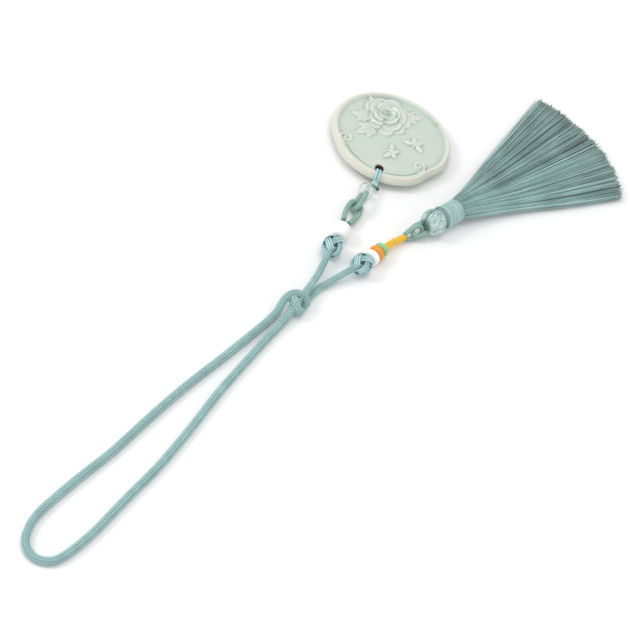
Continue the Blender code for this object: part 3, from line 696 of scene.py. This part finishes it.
def pendantGrid(outerShare):
    # square cells laid on the outline, and pulled to a round ring about the hole
    n = pendant["cells"]
    side = np.linspace(-1, 1, n + 1)
    a, b = np.meshgrid(side, side, indexing="ij")
    u, v = squareToDisc(a, b)
    angle = np.arctan2(v, u)
    reach = np.hypot(u, v) * outerShare * pendantEdge(angle)
    x, y = reach * np.cos(angle), reach * np.sin(angle)
    holeX, holeY = pendant["holePlace"]
    at = np.unravel_index(np.argmin((x - holeX) ** 2 + (y - holeY) ** 2), x.shape)
    di, dj = np.meshgrid(np.arange(n + 1) - at[0], np.arange(n + 1) - at[1], indexing="ij")
    ring = np.maximum(np.abs(di), np.abs(dj))
    du, dv = squareToDisc(di / np.maximum(ring, 1), dj / np.maximum(ring, 1))
    size = ring * pendant["holeRadius"] / pendant["holeRing"]
    share = smoothStep((ring - pendant["holeRing"]) / (pendant["blendRing"] - pendant["holeRing"]))
    x = (holeX + du * size) * (1 - share) + x * share
    y = (holeY + dv * size) * (1 - share) + y * share
    keep = np.maximum.reduce([ring[:-1, :-1], ring[1:, :-1], ring[:-1, 1:], ring[1:, 1:]]) > pendant["holeRing"]
    return x, y, keep, at


def lineDistance(x, y, points):
    # least distance to the segments of a line
    best = np.full(x.shape, 1e9)
    for (ax, ay), (bx, by) in zip(points[:-1], points[1:]):
        t = np.clip(((x - ax) * (bx - ax) + (y - ay) * (by - ay)) / ((bx - ax) ** 2 + (by - ay) ** 2 + 1e-9), 0, 1)
        best = np.minimum(best, np.hypot(x - ax - t * (bx - ax), y - ay - t * (by - ay)))
    return best


def blade(x, y, base, heading, length, width, height, vein=0.5):
    # pointed lobe: half-width w = width sin(pi t^0.8), height (1 - (d/w)^2)^0.6 less a groove down its middle
    c, s = np.cos(np.radians(heading)), np.sin(np.radians(heading))
    t = ((x - base[0]) * c + (y - base[1]) * s) / length
    d = -(x - base[0]) * s + (y - base[1]) * c
    inside = np.clip(t, 0.001, 0.999)
    w = width * np.sin(np.pi * inside ** 0.8) + 0.01
    body = np.clip(1 - (d / w) ** 2, 0, 1) ** 0.6 * ((t > 0) & (t < 1))
    rib = 1 - vein * np.exp(-(d / (0.16 * width)) ** 2) - 0.25 * vein * (np.cos(2 * np.pi * (4 * t - np.abs(d) / w)) > 0.6)
    return height * body * rib


def leaf(x, y, base, heading, length, height=0.7):
    # five blades from one base, the middle one longest
    lobes = [blade(x, y, base, heading, length, 0.24 * length, height)]
    for swing, size in ((38, 0.78), (-38, 0.78), (70, 0.5), (-70, 0.5)):
        lobes.append(blade(x, y, base, heading + swing, length * size, 0.24 * length * size, height * 0.85))
    return np.maximum.reduce(lobes)


def petalRing(x, y, centre, radius, height, count, phase, frill, bowl):
    # petal edge E = radius (0.84 + 0.18 sin^0.6) with a frill and some petals longer; height, bowl + (1 - bowl) (r/E)^2.4,
    # falls away past E and climbs round each petal, so that one petal's side lies over the next
    angle = np.arctan2(y - centre[1], x - centre[0])
    r = np.hypot(x - centre[0], y - centre[1])
    turn = count * angle / (2 * np.pi) + phase
    part = turn % 1.0
    petal = np.floor(turn) % count
    size = 0.84 + 0.18 * np.sin(np.pi * part) ** 0.6 + 0.05 * np.sin(2.4 * petal + count)
    ratio = r / (radius * (size + frill * np.cos(6 * count * angle)))
    body = height * (bowl + (1 - bowl) * np.clip(ratio, 0, 1) ** 2.4) * (1 - smoothStep((ratio - 0.95) / 0.11))
    return body * (0.58 + 0.42 * smoothStep(part / 0.80))


def butterfly(x, y, centre, heading, size):
    # two long back wings and two short front wings about a slim body
    wings = [blade(x, y, centre, heading + swing, length * size, width * size, 0.85, 0.3)
             for swing, length, width in ((114, 6.0, 1.35), (-114, 6.0, 1.35), (42, 4.1, 1.2), (-42, 4.1, 1.2))]
    c, s = np.cos(np.radians(heading)), np.sin(np.radians(heading))
    tail = (centre[0] - 2.0 * size * c, centre[1] - 2.0 * size * s)
    nose = (centre[0] + 1.6 * size * c, centre[1] + 1.6 * size * s)
    body = 0.95 * np.exp(-(lineDistance(x, y, [tail, nose]) / (0.5 * size)) ** 2)
    return np.maximum.reduce(wings + [body])


def spiral(centre, start, turns, radius, sign):
    # radius shrinks evenly as the angle turns
    t = np.linspace(0, 1, 28)
    angle = np.radians(start) + sign * 2 * np.pi * turns * t
    reach = radius * (1 - 0.80 * t)
    return np.stack([centre[0] + reach * np.cos(angle), centre[1] + reach * np.sin(angle)], axis=1)


def pendantTop(x, y):
    # recess inside a rounded rim, a border line between two scrolls, then the highest carved motif at each point
    angle = np.arctan2(y, x)
    share = np.hypot(x, y) / pendantEdge(angle)
    rim = np.exp(-((share - 0.935) / 0.045) ** 2)
    z = 5.55 + 0.95 * rim + 0.12 * (1 - share ** 2)
    arc = np.radians(np.linspace(-146, -36, 50))
    reach = pendantEdge(arc)[:, None] * np.stack([np.cos(arc), np.sin(arc)], axis=1)
    left = spiral((-17.5, -11.7), 212, 1.2, 3.0, -1)
    right = spiral((15.7, -11.5), -25, 1.2, 2.7, 1)
    fromHole = np.hypot(x - pendant["holePlace"][0], y - pendant["holePlace"][1])
    away = smoothStep((fromHole - 2.6) / 1.2)
    ridge = np.maximum.reduce([0.60 * np.exp(-(lineDistance(x, y, path) / 0.48) ** 2) for path in (left, right)]
                              + [0.38 * np.exp(-(lineDistance(x, y, 0.875 * reach) / 0.45) ** 2) * away])
    groove = 0.28 * np.exp(-(lineDistance(x, y, 0.835 * reach[5:-5]) / 0.42) ** 2) * away
    groove += 0.16 * np.exp(-(lineDistance(x, y, 0.775 * reach[27:-7]) / 0.35) ** 2) * away
    groove += 0.35 * np.exp(-(lineDistance(x, y, [(18.5, -10.3), (19.7, -13.4)]) / 0.35) ** 2)
    fret = [(3.3, -18.0), (7.3, -17.4), (7.1, -20.0), (4.4, -20.4), (4.4, -19.2), (6.0, -18.9)]
    ridge = np.maximum(ridge, 0.22 * np.exp(-(lineDistance(x, y, fret) / 0.25) ** 2))
    motifs = [ridge]
    motifs += [petalRing(x, y, (-5.1, 9.2), 10.6, 0.75, 9, 0.4, 0.012, 0.30),
               petalRing(x, y, (-5.0, 9.8), 8.7, 1.30, 5, 0.3, 0.0, 0.25),
               petalRing(x, y, (-5.2, 10.0), 6.1, 1.75, 4, 0.1, 0.0, 0.30),
               petalRing(x, y, (-5.3, 10.4), 3.6, 1.90, 3, 0.6, 0.0, 0.15)]
    eye = np.hypot(x + 5.4, y - 10.8)
    motifs.append(0.9 * np.exp(-(eye / 0.9) ** 2))
    motifs += [leaf(x, y, (-12.8, 4.4), 186, 7.6), leaf(x, y, (-8.9, -0.4), 228, 9.0), leaf(x, y, (-10.6, 12.6), 138, 7.2),
               leaf(x, y, (3.0, 13.4), 22, 7.4)]
    motifs += [butterfly(x, y, (10.8, -0.2), 78, 0.98), butterfly(x, y, (2.9, -9.9), -6, 0.95)]
    z = z + np.maximum.reduce(motifs) * (1 - smoothStep((share - 0.90) / 0.05)) - groove
    return z - 0.55 * np.exp(-(np.maximum(fromHole - pendant["holeRadius"], 0) / 0.45) ** 2), share


def pendantUnder(share):
    # flat foot, then a shallow hollow step and the rounded belly
    profile = curveThrough(((0.0, 0.0), (0.3, 0.0), (0.56, 0.0), (0.61, 0.10), (0.65, 0.9), (0.70, 1.42), (0.78, 1.75),
                            (0.88, 2.15), (0.93, 2.45), (0.965, 2.9)), 0.01)
    return np.interp(share, profile[:, 0], np.maximum(profile[:, 1], 0.0))


def boxBlur(field, size):
    # mean over a square window, by running sums along each axis, twice
    for axis in (0, 1, 0, 1):
        padded = np.pad(field, [(size, size) if k == axis else (0, 0) for k in (0, 1)], mode="edge")
        total = np.cumsum(np.insert(padded, 0, 0, axis=axis), axis=axis)
        count = field.shape[axis]
        window = 2 * size + 1
        field = (np.take(total, np.arange(window, window + count), axis=axis)
                 - np.take(total, np.arange(count), axis=axis)) / window
    return field


def edgeLoop(n):
    # row and column numbers round the border of a square grid
    run = np.arange(n)
    i = np.concatenate([run, np.full(n, n), n - run, np.zeros(n, int)])
    j = np.concatenate([np.zeros(n, int), run, np.full(n, n), n - run])
    return i, j


def pendantMesh(name):
    # carved top, belly and foot on the same cells, the rounded side between them, and no cells in the hole
    x, y, keep, hole = pendantGrid(pendant["topShare"])
    z, share = pendantTop(x, y)
    # the glaze pools greener in the hollows and is paler on the crests, and the same cavity measure also paints shade
    # into the carving and the flower's cup
    poolAndPaintedShade = 0.5 + 1.2 * (z - boxBlur(z, 3)) + 0.42 * (z - boxBlur(z, 10)) - 0.5 * np.exp(-((x + 5.4) ** 2 + (y - 10.8) ** 2))
    warm = smoothStep((share - 0.87) / 0.07) * (0.35 + 0.5 * smoothStep(0.5 - 0.5 * (y + 0.6 * x) / 27))
    topSheet = dict(points=np.stack([x, y, z], axis=-1), crown=np.clip(poolAndPaintedShade, 0, 1), tone=warm, wrapped=False, keep=keep)
    ux, uy, underKeep, underHole = pendantGrid(pendant["underShare"])
    underShare = np.hypot(ux, uy) / pendantEdge(np.arctan2(uy, ux))
    under = np.stack([ux, uy, pendantUnder(underShare)], axis=-1)[::-1]
    underSheet = dict(points=under, crown=0.5, tone=0.5 * smoothStep((underShare[::-1] - 0.5) / 0.2), wrapped=False,
                      keep=underKeep[::-1])
    i, j = edgeLoop(pendant["cells"])
    angle = np.arctan2(y[i, j], x[i, j])
    profile = curveThrough(((0.945, float(z[i, j].mean())), (0.966, 5.72), (0.984, 5.15), (0.996, 4.55), (1.0, 3.95),
                            (0.993, 3.45), (0.965, 2.9)), 0.25)
    reach = profile[:, :1] * pendantEdge(angle)[None]
    height = np.repeat(profile[:, 1:], len(angle), axis=1)
    height[0] = z[i, j]
    side = np.stack([reach * np.cos(angle), reach * np.sin(angle), height], axis=-1)
    sideSheet = dict(points=side[::-1], crown=0.55, tone=np.linspace(0.35, 0.75, len(profile))[:, None], capped=False)
    mesh = meshFrom(name, [topSheet, underSheet, sideSheet])
    k = pendant["holeRing"]
    i, j = edgeLoop(2 * k)
    ringTop = np.stack([x[hole[0] - k + i, hole[1] - k + j], y[hole[0] - k + i, hole[1] - k + j],
                        z[hole[0] - k + i, hole[1] - k + j]], axis=-1)
    i, j = underHole[0] - k + i, underHole[1] - k + j
    ringUnder = np.stack([ux[i, j], uy[i, j], pendantUnder(underShare[i, j])], axis=-1)
    t = np.linspace(0, 1, 12)[:, None, None]
    wall = ringTop[None] * (1 - t) + ringUnder[None] * t
    return mesh, wall


def settle(mesh, weld):
    # local pendant axes to the row frame, doubles merged and faces turned outward
    work = bmesh.new()
    work.from_mesh(mesh)
    if weld:
        bmesh.ops.remove_doubles(work, verts=work.verts, dist=0.004 * mm)
    bmesh.ops.recalc_face_normals(work, faces=work.faces)
    work.to_mesh(mesh)
    work.free()
    places = np.zeros(len(mesh.vertices) * 3)
    mesh.vertices.foreach_get("co", places)
    places = places.reshape(-1, 3) @ pendantPlace.T + np.array(pendant["centre"]) * mm
    mesh.vertices.foreach_set("co", places.reshape(-1))
    return mesh


pendantShape, holeWall = pendantMesh("pendantBody")
addPiece("pendantBody", settle(pendantShape, True), glaze, ("pendant",))
# the hole's wall is painted darker from the top edge down to the underside, as shade in the hole
wallShape = meshFrom("pendantHoleWall", [dict(points=holeWall, capped=False, crown=np.linspace(0.75, 0.0, 12)[:, None])])
places = np.zeros(len(wallShape.vertices) * 3)
wallShape.vertices.foreach_get("co", places)
places = places.reshape(-1, 3) @ pendantPlace.T + np.array(pendant["centre"]) * mm
wallShape.vertices.foreach_set("co", places.reshape(-1))
addPiece("pendantHoleWall", wallShape, clay)
print("pendant")


# Hanger threads through the pendant's hole
def onPendant(points):
    # pendant axes to the row frame
    return np.array(points, float) @ pendantPlace.T + np.array(pendant["centre"])


hanger = dict(knot=(1.0, -28.6, 2.95), thread=0.55)
threadView = ((-28.0, 4.4), (-27.3, 6.0), (-25.9, 7.0), (-24.2, 7.0), (-23.0, 6.2), (-22.3, 4.9), (-22.15, 3.2),
              (-22.3, 1.5), (-23.3, 0.7), (-24.8, 0.65), (-26.8, 0.75), (-27.8, 1.2))
for number, across in ((1, -0.62), (2, 0.62)):
    route = [(hanger["knot"][0] - 0.6 * min(1.0, (y + 28.0) / 6.0) + across, y, z) for y, z in threadView]
    threadPath = curveThrough(onPendant(route), 0.25)
    addPiece("hangerThread%d" % number, stringMesh("hangerThread%d" % number, threadPath, hanger["thread"]),
             threadFinish, ("hanger_thread_%d" % number,))


def threadKnotMesh(name):
    # two turns of thread round the legs: centre + R (cos a, sin a) with a slow climb, on a small ball
    s = np.linspace(0, 1, 150)
    turn = 2 * np.pi * 2.6 * s
    coil = np.stack([1.05 * np.cos(turn), 1.5 * (s - 0.5), 1.0 * np.sin(turn)], axis=1)
    cross = curveThrough(((-0.9, -0.9, 0.7), (-0.2, -0.1, 1.45), (0.8, 0.8, 0.7), (1.1, 0.5, -0.3)), 0.15)
    sheets = []
    for path in (coil, cross):
        place = onPendant(path + np.array(hanger["knot"]))
        sheets.append(dict(points=tubeAround(place, 0.52, 14), crown=0.75))
    polar = np.linspace(0.05, np.pi - 0.05, 12)[:, None]
    round_ = np.linspace(0, 2 * np.pi, 16, endpoint=False)[None]
    ball = np.stack([np.repeat(-np.cos(polar), 16, axis=1), np.sin(polar) * np.cos(round_),
                     np.sin(polar) * np.sin(round_)], axis=-1) * 1.05
    # the ball under the coils is painted darker, as shade
    sheets.append(dict(points=onPendant((ball + np.array(hanger["knot"])).reshape(-1, 3)).reshape(ball.shape), crown=0.2))
    return meshFrom(name, sheets)


addPiece("threadKnot", threadKnotMesh("threadKnot"), threadFinish, ("thread_knot",))
singedPath = curveThrough(onPendant(np.array(((0.8, -0.5, -0.1), (1.4, -0.9, -0.4), (2.0, -1.25, -0.75),
                                              (2.5, -1.5, -1.0))) + np.array(hanger["knot"])), 0.12)
singedShare = np.linspace(0, 1, len(singedPath))
singedRadius = 0.62 + 0.14 * np.sin(9 * singedShare) * singedShare
singedRadius[-2:] *= (0.8, 0.45)
addPiece("threadEnd", meshFrom("threadEnd", [dict(points=tubeAround(singedPath, singedRadius, 14),
                                                 crown=(0.9 - 0.8 * singedShare)[:, None])]),
         singedFinish, ("thread_end",))
print("hanger")

# Tassel: knob, collar and skirt
knob = dict(radius=5.3, strands=520, strand=0.13, waviness=0.10, crease=0.48)


def onTassel(points):
    # tassel axes to the row frame, kept above the table
    moved = points @ tasselAxes.T + knobCentre
    moved[..., 2] = np.maximum(moved[..., 2], 0.03)
    return moved


def knobReach(swing, turn):
    # radius of the head: a ball with a crease on its upper left, a small lobe beyond it and a soft neck behind
    front = smoothStep((2.3 - swing) / 1.0)
    crease = np.exp(-((turn - knob["crease"]) / 0.15) ** 2) * front
    lobe = np.exp(-((turn - knob["crease"] - 0.5) / 0.3) ** 2) * front
    return knob["radius"] * (1 - 0.20 * crease + 0.03 * lobe) * (1 - 0.03 * np.cos(2 * swing))


def knobSheets():
    # fibres run from the front pole to the neck: swing goes over the ball, turn wavers by a slow sine
    rng = np.random.default_rng(5)
    polar = np.linspace(0.05, 2.74, 40)[:, None]
    round_ = np.linspace(0, 2 * np.pi, 72, endpoint=False)[None]
    reach = knobReach(polar, (round_ + np.pi) % (2 * np.pi) - np.pi) - 0.12
    ball = np.stack([-np.cos(polar) * reach, np.sin(polar) * np.sin(round_) * reach,
                     np.sin(polar) * np.cos(round_) * reach], axis=-1)[:, ::-1]
    # the ball under the fibres is painted dark, as shade between them
    sheets = [dict(points=onTassel(ball), crown=0.22, tone=0.4)]
    count, rows = knob["strands"], 26
    swing = np.linspace(0.16, 2.72, rows)[None]
    start = rng.uniform(-np.pi, np.pi, (count, 1))
    wave = knob["waviness"] * np.sin(swing * rng.uniform(3, 9, (count, 1)) + rng.uniform(0, 6.3, (count, 1)))
    turn = start + wave * rng.uniform(0.4, 1.4, (count, 1)) + 0.35 * (swing - 1.4)
    turn = (turn + np.pi) % (2 * np.pi) - np.pi
    lift = rng.uniform(-0.12, 0.12, (count, 1)) + 0.05 * np.sin(swing * rng.uniform(6, 14, (count, 1)))
    radius = knobReach(swing, turn) + lift
    path = np.stack([-np.cos(swing) * radius, np.sin(swing) * np.sin(turn) * radius,
                     np.sin(swing) * np.cos(turn) * radius], axis=-1)
    tone = np.repeat(rng.uniform(0.1, 0.95, count)[:, None, None], rows, axis=1)
    # crown paints highlights that glint along each fibre and make raised fibres lighter, and paints shade near the
    # front pole and in the crease
    glint = 0.5 + 0.5 * np.sin(swing * rng.uniform(5, 12, (count, 1)) + rng.uniform(0, 6.3, (count, 1)))
    paintedCreaseShade = smoothStep((swing - 0.30) / 0.5) * (1 - 0.8 * np.exp(-((turn - knob["crease"]) / 0.12) ** 2) * (swing < 2.2))
    crown = np.clip((0.34 + 2.8 * lift + 0.55 * glint) * (0.25 + 0.75 * paintedCreaseShade), 0.0, 1.0)[:, :, None]
    sheets.append(strandSheet(path, knob["strand"], tone, crown, onTassel))
    return sheets


def strandSheet(path, radius, tone, crown, place):
    # three-sided strands: point(s, k) = path(s) + r (side cos a + up sin a), side level and across the strand
    ahead = unitRows(np.gradient(path, axis=1))
    side = unitRows(np.cross(ahead, np.array([0.12, 0.05, 1.0])))
    up = np.cross(side, ahead)
    turn = np.array([np.pi / 2, np.pi / 2 - 2 * np.pi / 3, np.pi / 2 + 2 * np.pi / 3])
    ring = side[:, :, None] * np.cos(turn)[None, None, :, None] + up[:, :, None] * np.sin(turn)[None, None, :, None]
    wide = np.broadcast_to(np.asarray(radius, float), path.shape[:2])[..., None, None]
    return dict(points=place(path[:, :, None] + ring * wide), tone=tone, crown=crown)


addPiece("tasselKnob", meshFrom("tasselKnob", knobSheets()), knobFinish, ("tassel_knob",))

collar = dict(start=5.0, length=8.8, radius=4.85, windings=38, depth=0.10, flare=0.10)


def collarSheet():
    # wound thread: r = radius + flare x^2 - depth (1 - |cos(pi windings x + a/2)|), ends turned in to the neck
    x = np.linspace(0, 1, 190)
    turn = np.linspace(0, 2 * np.pi, 84, endpoint=False)
    wound = np.abs(np.cos(np.pi * collar["windings"] * x[:, None] + 0.5 * turn[None]))
    radius = collar["radius"] + collar["flare"] * (x[:, None] - 0.25) ** 2 - collar["depth"] * (1 - wound)
    radius[:3] -= np.array([[0.9], [0.45], [0.15]])
    radius[-8:] -= np.array([[0.01], [0.02], [0.05], [0.09], [0.14], [0.20], [0.28], [0.45]])
    along = np.repeat(collar["start"] + collar["length"] * x[:, None], len(turn), axis=1)
    points = np.stack([along, -radius * np.sin(turn)[None], radius * np.cos(turn)[None]], axis=-1)
    rng = np.random.default_rng(9)
    tone = np.interp(x * collar["windings"], np.arange(40), rng.uniform(0.35, 0.65, 40))[:, None]
    # crown paints shade between the windings and highlight on them
    return dict(points=onTassel(points), crown=0.30 + 0.65 * wound, tone=tone)


def ringSheet(x, radius, thick, plies):
    # a twisted cord ring between knob and collar
    turn = np.linspace(0, 2 * np.pi, 220)
    path = np.stack([np.full(220, x), -radius * np.sin(turn), radius * np.cos(turn)], axis=1)
    around = np.linspace(0, 2 * np.pi, 16, endpoint=False)
    ply = np.abs(np.cos(around[None] + plies * turn[:, None] / 2))
    points = tubeAround(path, thick * (0.72 + 0.28 * ply), 16)
    # crown paints shade between the plies and highlight on each ply
    return dict(points=onTassel(points), crown=0.15 + 0.6 * ply, tone=0.45)


addPiece("tasselCollar", meshFrom("tasselCollar", [collarSheet(), ringSheet(5.0, 4.7, 0.42, 52)]), silkFinish,
         ("tassel_collar",))

skirt = dict(threads=6200, pieces=4, rows=9, radius=0.15, skirtLength=86.8, columns=62, layers=4)


def skirtThreads():
    # root (y, z) fills the round neck evenly; q = 2F(y) - 1 spreads it evenly across the fan, w = z / sqrt(1 - y^2)
    # through its thickness; at distance s past the neck: y = W(s) q, z = Z(s) + H(s) w, and each lock draws together
    rng = np.random.default_rng(12)
    count = skirt["threads"]
    rim = np.sqrt(rng.uniform(0.0, 1.0, count)) * 0.999
    spin = rng.uniform(0, 2 * np.pi, count)
    rootY, rootZ = rim * np.cos(spin), rim * np.sin(spin)
    q = 2 * (0.5 + (rootY * np.sqrt(1 - rootY ** 2) + np.arcsin(rootY)) / np.pi) - 1
    w = rootZ / np.sqrt(1 - rootY ** 2)
    w = np.sign(w) * np.abs(w) ** 0.72
    table = np.array(((-1.2, 4.55, 4.5, 0.0), (0.0, 4.72, 4.60, -0.05), (4.5, 6.0, 4.50, -0.2), (15.5, 9.7, 3.7, -1.40),
                      (32.5, 15.7, 2.50, -2.65), (56.5, 23.6, 1.95, -3.3), (86.0, 33.4, 1.62, -3.65)))
    widths = curveThrough(table[:, :2], 0.5)
    heights = curveThrough(table[:, (0, 2)], 0.5)
    drops = curveThrough(table[:, (0, 3)], 0.5)
    lockAcross = np.clip(((q + 1) / 2 * skirt["columns"]).astype(int), 0, skirt["columns"] - 1)
    lockUp = np.clip(((w + 1) / 2 * skirt["layers"]).astype(int), 0, skirt["layers"] - 1)
    lock = lockAcross * skirt["layers"] + lockUp
    locks = skirt["columns"] * skirt["layers"]
    lockQ = (lockAcross + 0.5 + rng.uniform(-0.25, 0.25, locks)[lock]) / skirt["columns"] * 2 - 1
    pull = rng.uniform(0.05, 0.7, locks)[lock][:, None]
    length = skirt["skirtLength"] - 7.0 * np.maximum(0, -q) ** 1.6 + rng.uniform(-0.5, 0.5, locks)[lock]
    length += rng.normal(0, 0.7, count) - 3.0 * (rng.uniform(0, 1, count) < 0.06) * rng.uniform(0, 1.0, count)
    reach = length * np.cos(np.radians(20.0 * q))
    t = np.linspace(0, 1, skirt["rows"])[None]
    s = -1.2 + (reach[:, None] + 1.2) * t
    bunch = smoothStep((s - 4) / 50)
    stray = (rng.uniform(0, 1, count) < 0.05)[:, None]
    sway = rng.normal(0, 0.008, locks)[lock][:, None] + rng.normal(0, 1, count)[:, None] * np.where(stray, 0.035, 0.004)
    spreadQ = q[:, None] + ((lockQ - q)[:, None] * pull + sway) * bunch
    limit = np.where(stray, 1.045, 1.0)
    spreadQ = spreadQ / np.maximum(1.0, np.abs(spreadQ) / limit)
    ripple = 0.15 * np.sin(s * rng.uniform(0.03, 0.07, count)[:, None] + rng.uniform(0, 6.3, count)[:, None])
    waist = 1 - np.maximum(0, -spreadQ) * (0.04 * smoothStep(s / 40) + 0.09 * np.exp(-((s - 24) / 18) ** 2))
    y = np.interp(s, widths[:, 0], widths[:, 1]) * spreadQ * waist + ripple * bunch
    roundness = np.sqrt(np.clip(1 - spreadQ ** 2, 0.0, 1)) * (1 - 0.75 * bunch) + 0.75 * bunch * (1 - 0.35 * spreadQ ** 4)
    lift = rng.normal(0, 0.14, locks)[lock][:, None] * bunch + 0.25 * stray * bunch
    z = np.interp(s, drops[:, 0], drops[:, 1]) + np.interp(s, heights[:, 0], heights[:, 1]) * (w[:, None] * roundness) + lift
    inLock = np.abs((q - lockQ) * skirt["columns"])[:, None]
    z = z - 0.25 * inLock ** 2 * bunch * np.sign(w)[:, None]
    path = np.stack([13.6 + s, y, np.maximum(z, 0.16 - 5.4)], axis=-1)
    tone = rng.uniform(0, 1, locks)[lock] * 0.6 + rng.uniform(0, 1, count) * 0.4
    # crown paints shade between the locks and near the collar, painted highlight on the stray threads, and lighter
    # colour towards the tips
    paintedGapShade = smoothStep((inLock - 0.55) / 0.5) * np.where(pull > 0.35, 1.0, 0.4)
    crown = (0.60 + 0.15 * stray - 0.50 * paintedGapShade * bunch) * (0.8 + 0.2 * smoothStep(s / 10)) + 0.10 * smoothStep((s - 30) / 60)
    radius = skirt["radius"] * (1.0 - 0.2 * t)
    return path, radius, tone, crown, w


threadPaths, threadRadius, threadTone, threadCrown, threadLayer = skirtThreads()
order = np.argsort(threadLayer)
for number, chosen in enumerate(np.array_split(order, skirt["pieces"]), 1):
    strands = strandSheet(threadPaths[chosen], np.repeat(threadRadius, len(chosen), axis=0), threadTone[chosen][:, None, None],
                          threadCrown[chosen][:, :, None], onTassel)
    addPiece("tasselSkirt%d" % number, meshFrom("tasselSkirt%d" % number, [strands]), silkFinish, ("tassel_skirt",))
print("tassel")
